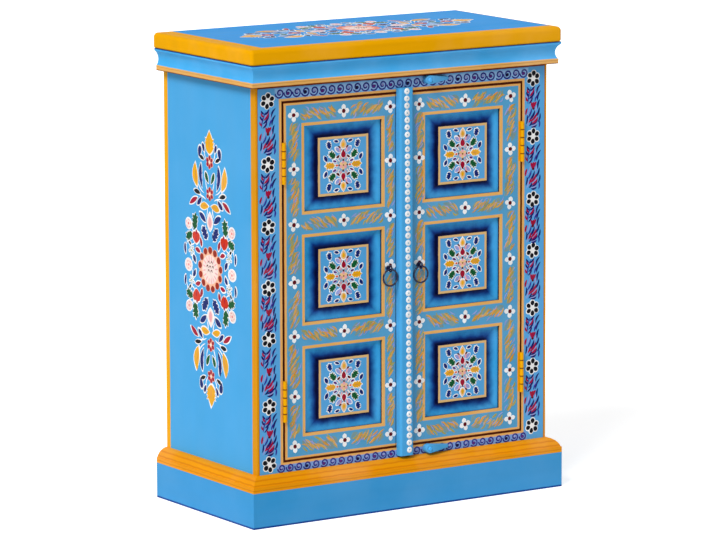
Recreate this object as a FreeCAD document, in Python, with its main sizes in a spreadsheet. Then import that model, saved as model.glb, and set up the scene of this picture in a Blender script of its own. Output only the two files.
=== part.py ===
import FreeCAD, Part
import os
import re

import Sketcher

# Painted two-door sideboard. Millimetres, +Z up, front towards -Y.
# The origin is on the floor, under the middle of the plinth.

# Driving sizes: one spreadsheet cell each, named by its alias.
SIZES = {
    # Carcase
    "carcase_width": 560.0,
    "carcase_depth": 280.0,
    "carcase_height": 740.0,
    "side_thickness": 18.0,
    "back_thickness": 6.0,
    "rebate_width": 9.0,
    "back_lift": 40.0,
    "floor_thickness": 15.0,
    "floor_lip": 5.0,
    "shelf_thickness": 15.0,
    "shelf_top": 396.0,
    "shelf_setback": 12.0,
    "cleat_size": 16.0,
    "cleat_setback": 20.0,
    "joint_play": 0.5,
    # Top board
    "top_thickness": 25.0,
    "top_overhang": 18.0,
    "top_corner_round": 5.0,
    "top_upper_round": 7.0,
    "top_lower_round": 4.0,
    # Cornice under the top board
    "cornice_height": 36.0,
    "cornice_fillet": 13.8,
    "cornice_fillet_height": 6.5,
    "cornice_foot": 14.6,
    "cornice_waist": 10.0,
    "cornice_waist_height": 19.2,
    "cornice_lip": 17.2,
    "cornice_lip_height": 3.5,
    # Plinth and the moulding on it
    "plinth_overhang": 20.0,
    "plinth_height": 58.0,
    "moulding_height": 24.0,
    "moulding_band_height": 9.0,
    "moulding_quirk": 1.2,
    "moulding_swell": 11.6,
    "moulding_swell_height": 19.6,
    # Front frame
    "frame_thickness": 20.0,
    "stile_width": 48.5,
    "top_rail_show": 26.5,
    "bottom_rail_show": 17.0,
    "bottom_rail_lap": 18.0,
    "frame_tenon_thickness": 8.0,
    "frame_tenon_length": 22.0,
    "frame_tenon_shoulder": 6.0,
    # Doors
    "door_thickness": 20.0,
    "door_proud": 0.4,
    "door_gap": 1.5,
    "hinge_gap": 3.0,
    "meeting_line": -16.0,
    "meeting_gap": 2.0,
    "left_hinge_stile": 38.5,
    "left_meeting_stile": 25.0,
    "right_hinge_stile": 40.5,
    "right_meeting_stile": 55.5,
    "door_top_rail": 39.5,
    "door_upper_rail": 41.5,
    "door_lower_rail": 42.5,
    "door_bottom_rail": 40.5,
    "groove_setback": 6.0,
    "groove_width": 7.0,
    "groove_depth": 8.0,
    "field_side_margin": 25.0,
    "field_end_margin": 20.0,
    "field_rise": 5.5,
    "field_slope": 12.0,
    # Strip that covers the meeting line
    "strip_width": 26.0,
    "strip_thickness": 12.0,
    "strip_top_lap": 8.8,
    "strip_bottom_lap": 15.3,
    "strip_round": 4.5,
    # Butt hinges
    "hinge_length": 66.0,
    "hinge_inset": 96.5,
    "hinge_axis_offset": 3.6,
    "knuckle_radius": 3.1,
    "knuckle_gap": 0.3,
    "leaf_gap": 0.6,
    "leaf_depth": 19.6,
    "hinge_pin_radius": 1.5,
    "running_clearance": 0.06,
    # Ring pulls
    "pull_height": 394.0,
    "left_pull_inset": 14.5,
    "right_pull_inset": 42.5,
    "eye_radius": 4.5,
    "eye_wire": 1.4,
    "eye_standoff": 7.5,
    "eye_bite": 5.0,
    "ring_radius": 13.4,
    "ring_wire": 1.5,
    "ring_play": 0.3,
    # Turn buttons that hold the right door
    "button_place": 42.5,
    "top_button_drop": 9.4,
    "bottom_button_rise": 9.2,
    "button_head": 7.2,
    "button_tail": 2.8,
    "button_reach": 37.0,
    "button_thickness": 12.0,
    "button_tail_thickness": 6.0,
    "button_clearance": 0.5,
    "nail_radius": 1.8,
    "nail_head_radius": 3.8,
    "nail_head_flat": 2.2,
    "nail_head_height": 1.6,
    "nail_bite": 14.0,
    "nail_play": 0.3,
}

# Knuckles along one hinge, turn about between its two leaves.
KNUCKLES = 5

# Two sketch points closer than this are one point.
SAME_POINT = 1e-6

# Places worked out from the driving sizes.
FACE = "(-(carcase_depth - plinth_overhang) / 2)"
BACK = "((carcase_depth + plinth_overhang) / 2)"
SIDE = "(carcase_width / 2)"
INNER_SIDE = "(carcase_width / 2 - side_thickness)"
FRAME_BACK = f"({FACE} + frame_thickness)"
OPENING_SIDE = "(carcase_width / 2 - stile_width)"
FACE_BOTTOM = "(plinth_height + moulding_height)"
FACE_TOP = "(carcase_height - cornice_height)"
OPENING_BOTTOM = f"({FACE_BOTTOM} + bottom_rail_show)"
OPENING_TOP = f"({FACE_TOP} - top_rail_show)"
DOOR_FACE = f"({FACE} - door_proud)"
DOOR_BOTTOM = f"({OPENING_BOTTOM} + door_gap)"
DOOR_TOP = f"({OPENING_TOP} - door_gap)"
FLOOR_TOP = f"({OPENING_BOTTOM} + floor_lip)"

doc = FreeCAD.newDocument("painted_sideboard")
sheet = doc.addObject("Spreadsheet::Sheet", "sizes")
for row, (alias, size) in enumerate(SIZES.items(), start=1):
    sheet.set(f"A{row}", alias)
    sheet.set(f"B{row}", str(size))
    sheet.setAlias(f"B{row}", alias)
doc.recompute()

nodes = []


def formula(text):
    """Spell each alias in a size formula as a cell of the sheet."""
    def cell(word):
        return f"sizes.{word.group()}" if word.group() in SIZES else word.group()
    return re.sub(r"[a-z_]+", cell, text)


def number(text):
    """Value of a size formula, in millimetres or degrees."""
    return float(sheet.evalExpression(formula(text)))


def bind(item, name, text):
    """Drive one property of an object by a size formula."""
    if text != "0":
        item.setExpression(name, formula(text))


def flip(text, sign):
    """Size formula for the other hand when sign is negative."""
    return text if sign > 0 or text == "0" else f"-({text})"


def turned(outline, sign):
    """Outline mirrored in its first coordinate when sign is negative."""
    corners = []
    for x, y, *bulge in outline:
        corners.append((flip(x, sign), y, *((flip(bx, sign), by) for bx, by in bulge)))
    return corners


def place(item, x="0", y="0", z="0"):
    """Set where an object's own origin stands in the cabinet."""
    for axis, text in zip("xyz", (x, y, z)):
        bind(item, f"Placement.Base.{axis}", text)


def keep(item):
    """List an object as a sub-part that gets its own file."""
    nodes.append(item)
    return item


# Sketches and features


def new_body(label, x="0", y="0", z="0"):
    """Start a body that is one sub-part."""
    body = doc.addObject("PartDesign::Body", label)
    place(body, x, y, z)
    return body


def new_sketch(body, role, offset="0"):
    """Add an empty sketch on one of the body's own planes, raised by an offset."""
    sketch = body.newObject("Sketcher::SketchObject", "outline")
    plane = next(item for item in body.Origin.OriginFeatures if item.Role == role)
    sketch.AttachmentSupport = [(plane, "")]
    sketch.MapMode = "FlatFace"
    bind(sketch, "AttachmentOffset.Base.z", offset)
    return sketch


def vector(point):
    """Sketch vector of a pair of size formulas."""
    return FreeCAD.Vector(number(point[0]), number(point[1]), 0)


def fix_point(sketch, geometry, end, point):
    """Hold one point of a sketch at a pair of size formulas."""
    for kind, axis, text in (("DistanceX", -2, point[0]), ("DistanceY", -1, point[1])):
        if text == "0":
            sketch.addConstraint(Sketcher.Constraint("PointOnObject", geometry, end, axis))
        else:
            index = sketch.addConstraint(Sketcher.Constraint(kind, -1, 1, geometry, end, number(text)))
            bind(sketch, f"Constraints[{index}]", text)


def draw_outline(sketch, corners):
    """Draw a closed outline. A corner with a third item leaves by an arc through that point."""
    sides = []
    for corner, following in zip(corners, corners[1:] + corners[:1]):
        start, end = vector(corner), vector(following)
        if len(corner) == 3:
            curve = Part.Arc(start, vector(corner[2]), end)
        else:
            curve = Part.LineSegment(start, end)
        side = sketch.addGeometry(curve, False)
        ends = (1, 2) if sketch.getPoint(side, 1).isEqual(start, SAME_POINT) else (2, 1)
        sides.append((side, *ends))
    for (side, _, end), (following, start, _) in zip(sides, sides[1:] + sides[:1]):
        sketch.addConstraint(Sketcher.Constraint("Coincident", side, end, following, start))
    for (side, start, _), corner in zip(sides, corners):
        fix_point(sketch, side, start, corner)
        if len(corner) == 3:
            middle = sketch.addGeometry(Part.Point(vector(corner[2])), True)
            fix_point(sketch, middle, 1, corner[2])
            sketch.addConstraint(Sketcher.Constraint("PointOnObject", middle, 1, side))


def draw_circle(sketch, centre, radius):
    """Draw a full circle at a pair of size formulas."""
    circle = Part.Circle(vector(centre), FreeCAD.Vector(0, 0, 1), number(radius))
    index = sketch.addGeometry(circle, False)
    fix_point(sketch, index, 3, centre)
    constraint = sketch.addConstraint(Sketcher.Constraint("Radius", index, number(radius)))
    bind(sketch, f"Constraints[{constraint}]", radius)


def rectangle(low, high):
    """Corners of a rectangle between two opposite ones."""
    return [low, (high[0], low[1]), high, (low[0], high[1])]


def pad(body, sketch, length, symmetric=False, reverse=False):
    """Raise a sketch into a solid."""
    feature = body.newObject("PartDesign::Pad", "pad")
    feature.Profile = sketch
    feature.SideType = "Symmetric" if symmetric else "One side"
    feature.Reversed = reverse
    bind(feature, "Length", length)
    return feature


def pocket(body, sketch, depth, symmetric=False, reverse=False):
    """Cut a sketch into the body, against the sketch's normal unless reversed."""
    feature = body.newObject("PartDesign::Pocket", "pocket")
    feature.Profile = sketch
    feature.SideType = "Symmetric" if symmetric else "One side"
    feature.Reversed = reverse
    bind(feature, "Length", depth)
    return feature


def round_edges(body, base, chosen, radius):
    """Fillet the edges of a feature whose middle point passes a test."""
    doc.recompute()
    names = []
    for index, edge in enumerate(base.Shape.Edges, start=1):
        if chosen(edge.valueAt((edge.FirstParameter + edge.LastParameter) / 2)):
            names.append(f"Edge{index}")
    feature = body.newObject("PartDesign::Fillet", "round")
    feature.Base = (base, names)
    bind(feature, "Radius", radius)
    return feature


def board(label, low, high):
    """Plain board between two corners, each of three size formulas."""
    box = doc.addObject("Part::Box", label)
    for side, start, end in zip(("Length", "Width", "Height"), low, high):
        bind(box, side, f"{end} - {start}")
    place(box, *low)
    return box


def group(label, items):
    """Several like solids that share one file."""
    compound = doc.addObject("Part::Compound", label)
    compound.Links = items
    return keep(compound)


# Mouldings, mitred at the front corners


def front_strip(label, profile, reach, z):
    """Strip across the front. Its profile is (projection, height) from the carcase face."""
    body = new_body(label, "0", FACE, z)
    section = new_sketch(body, "YZ_Plane")
    draw_outline(section, turned(profile, -1))
    pad(body, section, f"carcase_width + 2 * {reach}", symmetric=True)
    mitre = new_sketch(body, "XY_Plane")
    for sign in (-1, 1):
        draw_outline(mitre, turned([
            (f"{SIDE} - {reach}", reach),
            (f"{SIDE} + 2 * {reach}", reach),
            (f"{SIDE} + 2 * {reach}", f"-2 * {reach}"),
        ], sign))
    pocket(body, mitre, "4 * carcase_height", symmetric=True)
    return keep(body)


def side_strip(label, sign, profile, reach, z):
    """Strip along one side, from the back edge to the mitre at the front corner."""
    body = new_body(label, flip(SIDE, sign), BACK, z)
    section = new_sketch(body, "XZ_Plane")
    draw_outline(section, turned(profile, sign))
    pad(body, section, f"carcase_depth + {reach}")
    mitre = new_sketch(body, "XY_Plane")
    draw_outline(mitre, turned([
        (f"-{reach}", f"-carcase_depth + {reach}"),
        (f"2 * {reach}", f"-carcase_depth - 2 * {reach}"),
        (f"-{reach}", f"-carcase_depth - 2 * {reach}"),
    ], sign))
    pocket(body, mitre, "4 * carcase_height", symmetric=True)
    return keep(body)


def three_strips(label, profile, reach, z):
    """The front and the two sides of one moulding."""
    front_strip(f"{label}_front", profile, reach, z)
    side_strip(f"{label}_left", -1, profile, reach, z)
    side_strip(f"{label}_right", 1, profile, reach, z)


def make_plinth():
    """Flat plinth boards and the rounded moulding that stands on them."""
    boards = rectangle(("0", "0"), ("plinth_overhang", "plinth_height"))
    three_strips("plinth", boards, "plinth_overhang", "0")
    quirk = "plinth_overhang - moulding_quirk"
    moulding = [
        ("0", "0"),
        ("plinth_overhang", "0"),
        ("plinth_overhang", "moulding_band_height"),
        (quirk, "moulding_band_height", ("moulding_swell", "moulding_swell_height")),
        ("0", "moulding_height"),
    ]
    three_strips("plinth_moulding", moulding, "plinth_overhang", "plinth_height")


def make_cornice():
    """Fillet, hollow and lip under the overhanging top board."""
    lip_foot = "cornice_height - cornice_lip_height"
    profile = [
        ("0", "0"),
        ("cornice_fillet", "0"),
        ("cornice_fillet", "cornice_fillet_height"),
        ("cornice_foot", "cornice_fillet_height", ("cornice_waist", "cornice_waist_height")),
        ("cornice_lip", lip_foot),
        ("cornice_lip", "cornice_height"),
        ("0", "cornice_height"),
    ]
    three_strips("cornice", profile, "cornice_lip", FACE_TOP)


# Carcase


def make_top_board():
    """Overhanging top with rounded front and side edges and a square back."""
    body = new_body("top_board", "0", BACK, "carcase_height")
    half = f"({SIDE} + top_overhang)"
    depth = "(carcase_depth + top_overhang)"
    plan = new_sketch(body, "XY_Plane")
    draw_outline(plan, rectangle((f"-{half}", f"-{depth}"), (half, "0")))
    slab = pad(body, plan, "top_thickness")
    front, thickness = -number(depth), number("top_thickness")

    def is_front_corner(point):
        return abs(point.y - front) < SAME_POINT and 0 < point.z < thickness

    corners = round_edges(body, slab, is_front_corner, "top_corner_round")

    def is_upper_rim(point):
        return abs(point.z - thickness) < SAME_POINT and point.y < -SAME_POINT

    upper = round_edges(body, corners, is_upper_rim, "top_upper_round")

    def is_lower_rim(point):
        return abs(point.z) < SAME_POINT and point.y < -SAME_POINT

    round_edges(body, upper, is_lower_rim, "top_lower_round")
    keep(body)


def make_side_panel(label, sign):
    """Side board from floor to top, rebated at the back for the back panel."""
    body = new_body(label, flip(SIDE, sign), FRAME_BACK)
    depth = "(carcase_depth - frame_thickness)"
    step = "side_thickness - rebate_width"
    section = new_sketch(body, "XY_Plane")
    draw_outline(section, turned([
        ("0", "0"),
        ("side_thickness", "0"),
        ("side_thickness", f"{depth} - back_thickness"),
        (step, f"{depth} - back_thickness"),
        (step, depth),
        ("0", depth),
    ], -sign))
    pad(body, section, "carcase_height")
    keep(body)


def make_inner_boards():
    """Back panel, floor, shelf and the cleats that carry the last two."""
    back_side = f"({INNER_SIDE} + rebate_width - joint_play)"
    back_front = f"({BACK} - back_thickness)"
    keep(board("back_panel", (f"-{back_side}", back_front, "back_lift"), (back_side, BACK, "carcase_height")))
    floor_base = f"({FLOOR_TOP} - floor_thickness)"
    keep(board("bottom_board", (f"-{INNER_SIDE}", FRAME_BACK, floor_base), (INNER_SIDE, back_front, FLOOR_TOP)))
    shelf_base = "(shelf_top - shelf_thickness)"
    shelf_front = f"({FRAME_BACK} + shelf_setback)"
    keep(board("shelf", (f"-{INNER_SIDE}", shelf_front, shelf_base), (INNER_SIDE, back_front, "shelf_top")))
    for name, carried in (("bottom_cleats", floor_base), ("shelf_cleats", shelf_base)):
        pair = []
        for hand, sign in (("left", -1), ("right", 1)):
            outer = flip(INNER_SIDE, sign)
            inner = flip(f"({INNER_SIDE} - cleat_size)", sign)
            low_x, high_x = (outer, inner) if sign < 0 else (inner, outer)
            low = (low_x, f"({FRAME_BACK} + cleat_setback)", f"({carried} - cleat_size)")
            pair.append(board(f"{name}_{hand}", low, (high_x, back_front, carried)))
        group(name, pair)


# Front frame: each rail is (foot, top, middle of its nail hole)
FRAME_RAILS = {
    "bottom": ("(plinth_height - bottom_rail_lap)", OPENING_BOTTOM, f"({FACE_BOTTOM} + bottom_button_rise)"),
    "top": (OPENING_TOP, "carcase_height", f"({FACE_TOP} - top_button_drop)"),
}


def tenon_section(foot, top):
    """Tenon or mortise of a frame rail, in depth and height."""
    edge = "(frame_thickness - frame_tenon_thickness) / 2"
    low = (edge, f"{foot} + frame_tenon_shoulder")
    return rectangle(low, (f"frame_thickness - {edge}", f"{top} - frame_tenon_shoulder"))


def make_frame_stile(label, sign):
    """Upright of the front frame, mortised for both rails."""
    body = new_body(label, flip(OPENING_SIDE, sign), FACE)
    section = new_sketch(body, "XY_Plane")
    draw_outline(section, turned(rectangle(("0", "0"), ("stile_width", "frame_thickness")), sign))
    pad(body, section, "carcase_height")
    mortises = new_sketch(body, "YZ_Plane")
    for foot, top, _ in FRAME_RAILS.values():
        draw_outline(mortises, tenon_section(foot, top))
    pocket(body, mortises, "frame_tenon_length + joint_play", reverse=sign > 0)
    keep(body)


def make_frame_rail(label, foot, top, nail):
    """Crosspiece of the front frame with a tenon at each end and a nail hole for its turn button."""
    body = new_body(label, "0", FACE)
    section = new_sketch(body, "YZ_Plane")
    draw_outline(section, rectangle(("0", foot), ("frame_thickness", top)))
    pad(body, section, f"2 * {OPENING_SIDE}", symmetric=True)
    tenons = new_sketch(body, "YZ_Plane")
    draw_outline(tenons, tenon_section(foot, top))
    pad(body, tenons, f"2 * ({OPENING_SIDE} + frame_tenon_length)", symmetric=True)
    hole = new_sketch(body, "XZ_Plane")
    draw_circle(hole, ("button_place", nail), "nail_radius + running_clearance")
    pocket(body, hole, "nail_bite + joint_play")
    keep(body)


def make_front_frame():
    """Two stiles and two rails round the door opening."""
    make_frame_stile("frame_stile_left", -1)
    make_frame_stile("frame_stile_right", 1)
    for name, (foot, top, nail) in FRAME_RAILS.items():
        make_frame_rail(f"frame_rail_{name}", foot, top, nail)


# Doors: grooved stiles, stub-tenoned rails and raised panels

# The three panels of a door show alike.
RAILS_SHOW = "(door_top_rail + door_upper_rail + door_lower_rail + door_bottom_rail)"
PANEL_SHOW = f"(({DOOR_TOP} - {DOOR_BOTTOM} - {RAILS_SHOW}) / 3)"
TOP_RAIL_FOOT = f"({DOOR_TOP} - door_top_rail)"
TOP_PANEL_FOOT = f"({TOP_RAIL_FOOT} - {PANEL_SHOW})"
UPPER_RAIL_FOOT = f"({TOP_PANEL_FOOT} - door_upper_rail)"
MIDDLE_PANEL_FOOT = f"({UPPER_RAIL_FOOT} - {PANEL_SHOW})"
LOWER_RAIL_FOOT = f"({MIDDLE_PANEL_FOOT} - door_lower_rail)"
BOTTOM_PANEL_FOOT = f"({DOOR_BOTTOM} + door_bottom_rail)"

# Door rails: (foot, top, grooved below, grooved above)
DOOR_RAILS = {
    "top": (TOP_RAIL_FOOT, DOOR_TOP, True, False),
    "upper": (UPPER_RAIL_FOOT, TOP_PANEL_FOOT, True, True),
    "lower": (LOWER_RAIL_FOOT, MIDDLE_PANEL_FOOT, True, True),
    "bottom": (DOOR_BOTTOM, BOTTOM_PANEL_FOOT, False, True),
}

# Door panels: (foot, top) of what shows
DOOR_PANELS = {
    "top": (TOP_PANEL_FOOT, TOP_RAIL_FOOT),
    "middle": (MIDDLE_PANEL_FOOT, UPPER_RAIL_FOOT),
    "bottom": (BOTTOM_PANEL_FOOT, LOWER_RAIL_FOOT),
}

GROOVE_BACK = "groove_setback + groove_width"
TONGUE = "(groove_depth - joint_play)"


class DoorPlan:
    """Where one door's edges and panels stand across the front."""

    def __init__(self, hand):
        self.hand = hand
        self.sign = -1 if hand == "left" else 1
        self.hinge_edge = flip(f"({OPENING_SIDE} - hinge_gap)", self.sign)
        self.hinge_axis = flip(f"({OPENING_SIDE} - hinge_gap / 2)", self.sign)
        self.hinge_stile = f"{hand}_hinge_stile"
        self.meeting_stile = f"{hand}_meeting_stile"
        if hand == "left":
            self.meeting_edge = "(meeting_line - meeting_gap / 2)"
            self.sight_left = f"({self.hinge_edge} + {self.hinge_stile})"
            self.sight_right = f"({self.meeting_edge} - {self.meeting_stile})"
            self.pull = f"({self.meeting_edge} - left_pull_inset)"
        else:
            self.meeting_edge = "(meeting_line + meeting_gap / 2)"
            self.sight_left = f"({self.meeting_edge} + {self.meeting_stile})"
            self.sight_right = f"({self.hinge_edge} - {self.hinge_stile})"
            self.pull = f"({self.meeting_edge} + right_pull_inset)"
        self.sight_middle = f"(({self.sight_left} + {self.sight_right}) / 2)"
        self.sight_width = f"({self.sight_right} - {self.sight_left})"


def make_door_stile(label, edge, width, sign):
    """Door upright, grooved along the edge that holds the rails and panels."""
    body = new_body(label, edge, DOOR_FACE, DOOR_BOTTOM)
    section = new_sketch(body, "XY_Plane")
    draw_outline(section, turned([
        ("0", "0"),
        (width, "0"),
        (width, "groove_setback"),
        (f"{width} - groove_depth", "groove_setback"),
        (f"{width} - groove_depth", GROOVE_BACK),
        (width, GROOVE_BACK),
        (width, "door_thickness"),
        ("0", "door_thickness"),
    ], sign))
    pad(body, section, f"{DOOR_TOP} - {DOOR_BOTTOM}")
    return keep(body)


def drill_for_eye(stile, inset, sign):
    """Hole in a meeting stile for the screw of the ring pull's eye."""
    hole = new_sketch(stile, "XZ_Plane")
    draw_circle(hole, (flip(inset, sign), f"pull_height - {DOOR_BOTTOM}"), "eye_wire + running_clearance")
    pocket(stile, hole, "eye_bite + running_clearance")


def make_door_rail(label, plan, foot, top, groove_below, groove_above):
    """Door crosspiece, grooved for its panels, with stub tenons in the stiles' grooves."""
    body = new_body(label, plan.sight_middle, DOOR_FACE, foot)
    height = f"({top} - {foot})"
    below = [("groove_setback", "0"), ("groove_setback", "groove_depth"),
             (GROOVE_BACK, "groove_depth"), (GROOVE_BACK, "0")]
    above = [(GROOVE_BACK, height), (GROOVE_BACK, f"{height} - groove_depth"),
             ("groove_setback", f"{height} - groove_depth"), ("groove_setback", height)]
    section = new_sketch(body, "YZ_Plane")
    draw_outline(section, [
        ("0", "0"),
        *(below if groove_below else []),
        ("door_thickness", "0"),
        ("door_thickness", height),
        *(above if groove_above else []),
        ("0", height),
    ])
    pad(body, section, plan.sight_width, symmetric=True)
    web = new_sketch(body, "YZ_Plane")
    web_foot = "groove_depth" if groove_below else "0"
    web_top = f"{height} - groove_depth" if groove_above else height
    draw_outline(web, rectangle(("groove_setback", web_foot), (GROOVE_BACK, web_top)))
    pad(body, web, f"{plan.sight_width} + 2 * {TONGUE}", symmetric=True)
    keep(body)


def make_door_panel(label, plan, foot, top):
    """Raised panel: a plate held in the grooves and a square field that slopes up from it."""
    body = new_body(label, plan.sight_middle, f"{DOOR_FACE} + groove_setback", foot)
    half = f"({plan.sight_width} / 2)"
    height = f"({top} - {foot})"
    plate = new_sketch(body, "XZ_Plane")
    draw_outline(plate, rectangle(
        (f"-({half} + {TONGUE})", f"-{TONGUE}"),
        (f"{half} + {TONGUE}", f"{height} + {TONGUE}"),
    ))
    pad(body, plate, "groove_width", reverse=True)
    field = new_sketch(body, "XZ_Plane")
    draw_outline(field, rectangle(
        (f"-({half} - field_side_margin)", "field_end_margin"),
        (f"{half} - field_side_margin", f"{height} - field_end_margin"),
    ))
    raised = pad(body, field, "field_rise")
    bind(raised, "TaperAngle", "-field_slope")
    keep(body)


def make_door(plan):
    """Stiles, rails and panels of one door."""
    hand = plan.hand
    make_door_stile(f"{hand}_door_hinge_stile", plan.hinge_edge, plan.hinge_stile, -plan.sign)
    meeting = make_door_stile(
        f"{hand}_door_meeting_stile", plan.meeting_edge, plan.meeting_stile, plan.sign)
    drill_for_eye(meeting, f"{hand}_pull_inset", plan.sign)
    for name, rail in DOOR_RAILS.items():
        make_door_rail(f"{hand}_door_rail_{name}", plan, *rail)
    for name, panel in DOOR_PANELS.items():
        make_door_panel(f"{hand}_door_panel_{name}", plan, *panel)


def make_meeting_strip(plan):
    """Rounded strip on the right door that covers the meeting line and laps the frame."""
    body = new_body("meeting_strip", plan.meeting_edge, DOOR_FACE, f"{DOOR_BOTTOM} - strip_bottom_lap")
    section = new_sketch(body, "XY_Plane")
    draw_outline(section, rectangle(("0", "-strip_thickness"), ("strip_width", "0")))
    length = f"{DOOR_TOP} - {DOOR_BOTTOM} + strip_bottom_lap + strip_top_lap"
    strip = pad(body, section, length)
    front, top = -number("strip_thickness"), number(length)

    def is_long_front_edge(point):
        return abs(point.y - front) < SAME_POINT and 0 < point.z < top - SAME_POINT

    round_edges(body, strip, is_long_front_edge, "strip_round")
    keep(body)


# Butt hinges, with the leaves in the gap between the door and the frame

PITCH = f"(hinge_length / {KNUCKLES})"
KNUCKLE_LENGTH = f"({PITCH} - knuckle_gap)"
BARREL_LENGTH = "(hinge_length - knuckle_gap)"
HINGE_FEET = {
    "upper": f"({DOOR_TOP} - hinge_inset - hinge_length / 2)",
    "lower": f"({DOOR_BOTTOM} + hinge_inset - hinge_length / 2)",
}
HINGE_AXIS_DEPTH = f"({FACE} - hinge_axis_offset)"


def make_hinge_leaf(label, axis, foot, sign, first):
    """Leaf with every second knuckle, starting from the first one given."""
    body = new_body(label, axis, HINGE_AXIS_DEPTH, foot)
    near, far = "leaf_gap / 2", "hinge_gap / 2"
    clear = "knuckle_radius + knuckle_gap"
    plate = new_sketch(body, "XY_Plane")
    draw_outline(plate, turned(rectangle((near, clear), (far, "leaf_depth")), sign))
    pad(body, plate, BARREL_LENGTH)
    neck_places = range(first, KNUCKLES, 2)
    start = f"{first} * {PITCH}" if first else "0"
    neck = new_sketch(body, "XY_Plane", start)
    draw_outline(neck, turned(rectangle((near, "0"), (far, clear)), sign))
    neck_pad = pad(body, neck, KNUCKLE_LENGTH)
    barrel = new_sketch(body, "XY_Plane", start)
    draw_circle(barrel, ("0", "0"), "knuckle_radius")
    barrel_pad = pad(body, barrel, KNUCKLE_LENGTH)
    row = body.newObject("PartDesign::LinearPattern", "knuckles")
    row.Originals = [neck_pad, barrel_pad]
    row.Direction = (next(item for item in body.Origin.OriginFeatures if item.Role == "Z_Axis"), [""])
    row.Occurrences = len(neck_places)
    bind(row, "Length", f"{2 * (len(neck_places) - 1)} * {PITCH}")
    body.Tip = row
    bore = new_sketch(body, "XY_Plane")
    draw_circle(bore, ("0", "0"), "hinge_pin_radius + running_clearance")
    pocket(body, bore, "3 * hinge_length", symmetric=True)
    keep(body)


def make_hinge_pin(label, axis, foot):
    """Pin through all the knuckles, flush with the first and the last."""
    pin = doc.addObject("Part::Cylinder", label)
    bind(pin, "Radius", "hinge_pin_radius")
    bind(pin, "Height", BARREL_LENGTH)
    place(pin, axis, HINGE_AXIS_DEPTH, foot)
    return pin


def make_hinges(plans):
    """Two hinges on each door, with a frame leaf, a door leaf and a pin each."""
    pins = []
    for plan in plans:
        for level, foot in HINGE_FEET.items():
            name = f"{plan.hand}_{level}"
            make_hinge_leaf(f"{name}_hinge_frame_leaf", plan.hinge_axis, foot, plan.sign, 0)
            make_hinge_leaf(f"{name}_hinge_door_leaf", plan.hinge_axis, foot, -plan.sign, 1)
            pins.append(make_hinge_pin(f"{name}_hinge_pin", plan.hinge_axis, foot))
    group("hinge_pins", pins)


# Ring pulls

EYE_DEPTH = f"({DOOR_FACE} - eye_standoff)"
RING_DROP = "(eye_radius - eye_wire - ring_wire - ring_play)"

# Straights in a ring, in an eye and round a wire. Multiples of four put corners where they touch.
RING_SIDES = 24
EYE_SIDES = 16
WIRE_SIDES = 8

ACROSS = FreeCAD.Vector(1, 0, 0)
INWARDS = FreeCAD.Vector(0, 1, 0)
UP = FreeCAD.Vector(0, 0, 1)


def make_polygon(label, sides, radius, normal):
    """Regular polygon with its first corner upwards, facing along a level normal."""
    polygon = doc.addObject("Part::RegularPolygon", label)
    polygon.Polygon = sides
    bind(polygon, "Circumradius", radius)
    polygon.Placement.Rotation = FreeCAD.Rotation(UP, normal.cross(UP), normal)
    return polygon


def make_wire_ring(label, centre, radius, wire, sides, axis):
    """Wire bent to a closed ring of short straights, with its hole along a level axis."""
    x, z = centre
    path = make_polygon(f"{label}_path", sides, radius, axis)
    place(path, x, EYE_DEPTH, z)
    section = make_polygon(f"{label}_section", WIRE_SIDES, wire, axis.cross(UP))
    place(section, x, EYE_DEPTH, f"{z} + {radius}")
    ring = doc.addObject("Part::Sweep", label)
    ring.Sections = [section]
    ring.Spine = (path, [f"Edge{side}" for side in range(1, sides + 1)])
    ring.Transition = "Right corner"
    ring.Solid = True
    return ring


def make_pull(plan):
    """Screw eye in the meeting stile and the ring that hangs in it."""
    hand = plan.hand
    loop = make_wire_ring(
        f"{hand}_eye_loop", (plan.pull, "pull_height"), "eye_radius", "eye_wire", EYE_SIDES, ACROSS)
    shank = doc.addObject("Part::Prism", f"{hand}_eye_shank")
    shank.Polygon = WIRE_SIDES
    bind(shank, "Circumradius", "eye_wire")
    bind(shank, "Height", "eye_standoff - eye_radius + eye_bite")
    shank.Placement.Rotation = FreeCAD.Rotation(UP, INWARDS.cross(UP), INWARDS)
    place(shank, plan.pull, f"{EYE_DEPTH} + eye_radius", "pull_height")
    eye = doc.addObject("Part::Fuse", f"{hand}_pull_eye")
    eye.Base = loop
    eye.Tool = shank
    keep(eye)
    hang = (plan.pull, f"(pull_height - {RING_DROP} - ring_radius)")
    keep(make_wire_ring(f"{hand}_pull_ring", hang, "ring_radius", "ring_wire", RING_SIDES, INWARDS))


# Turn buttons, drawn turned aside, with the tail towards the right

BUTTON_BACK = f"({DOOR_FACE} - button_clearance)"


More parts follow.
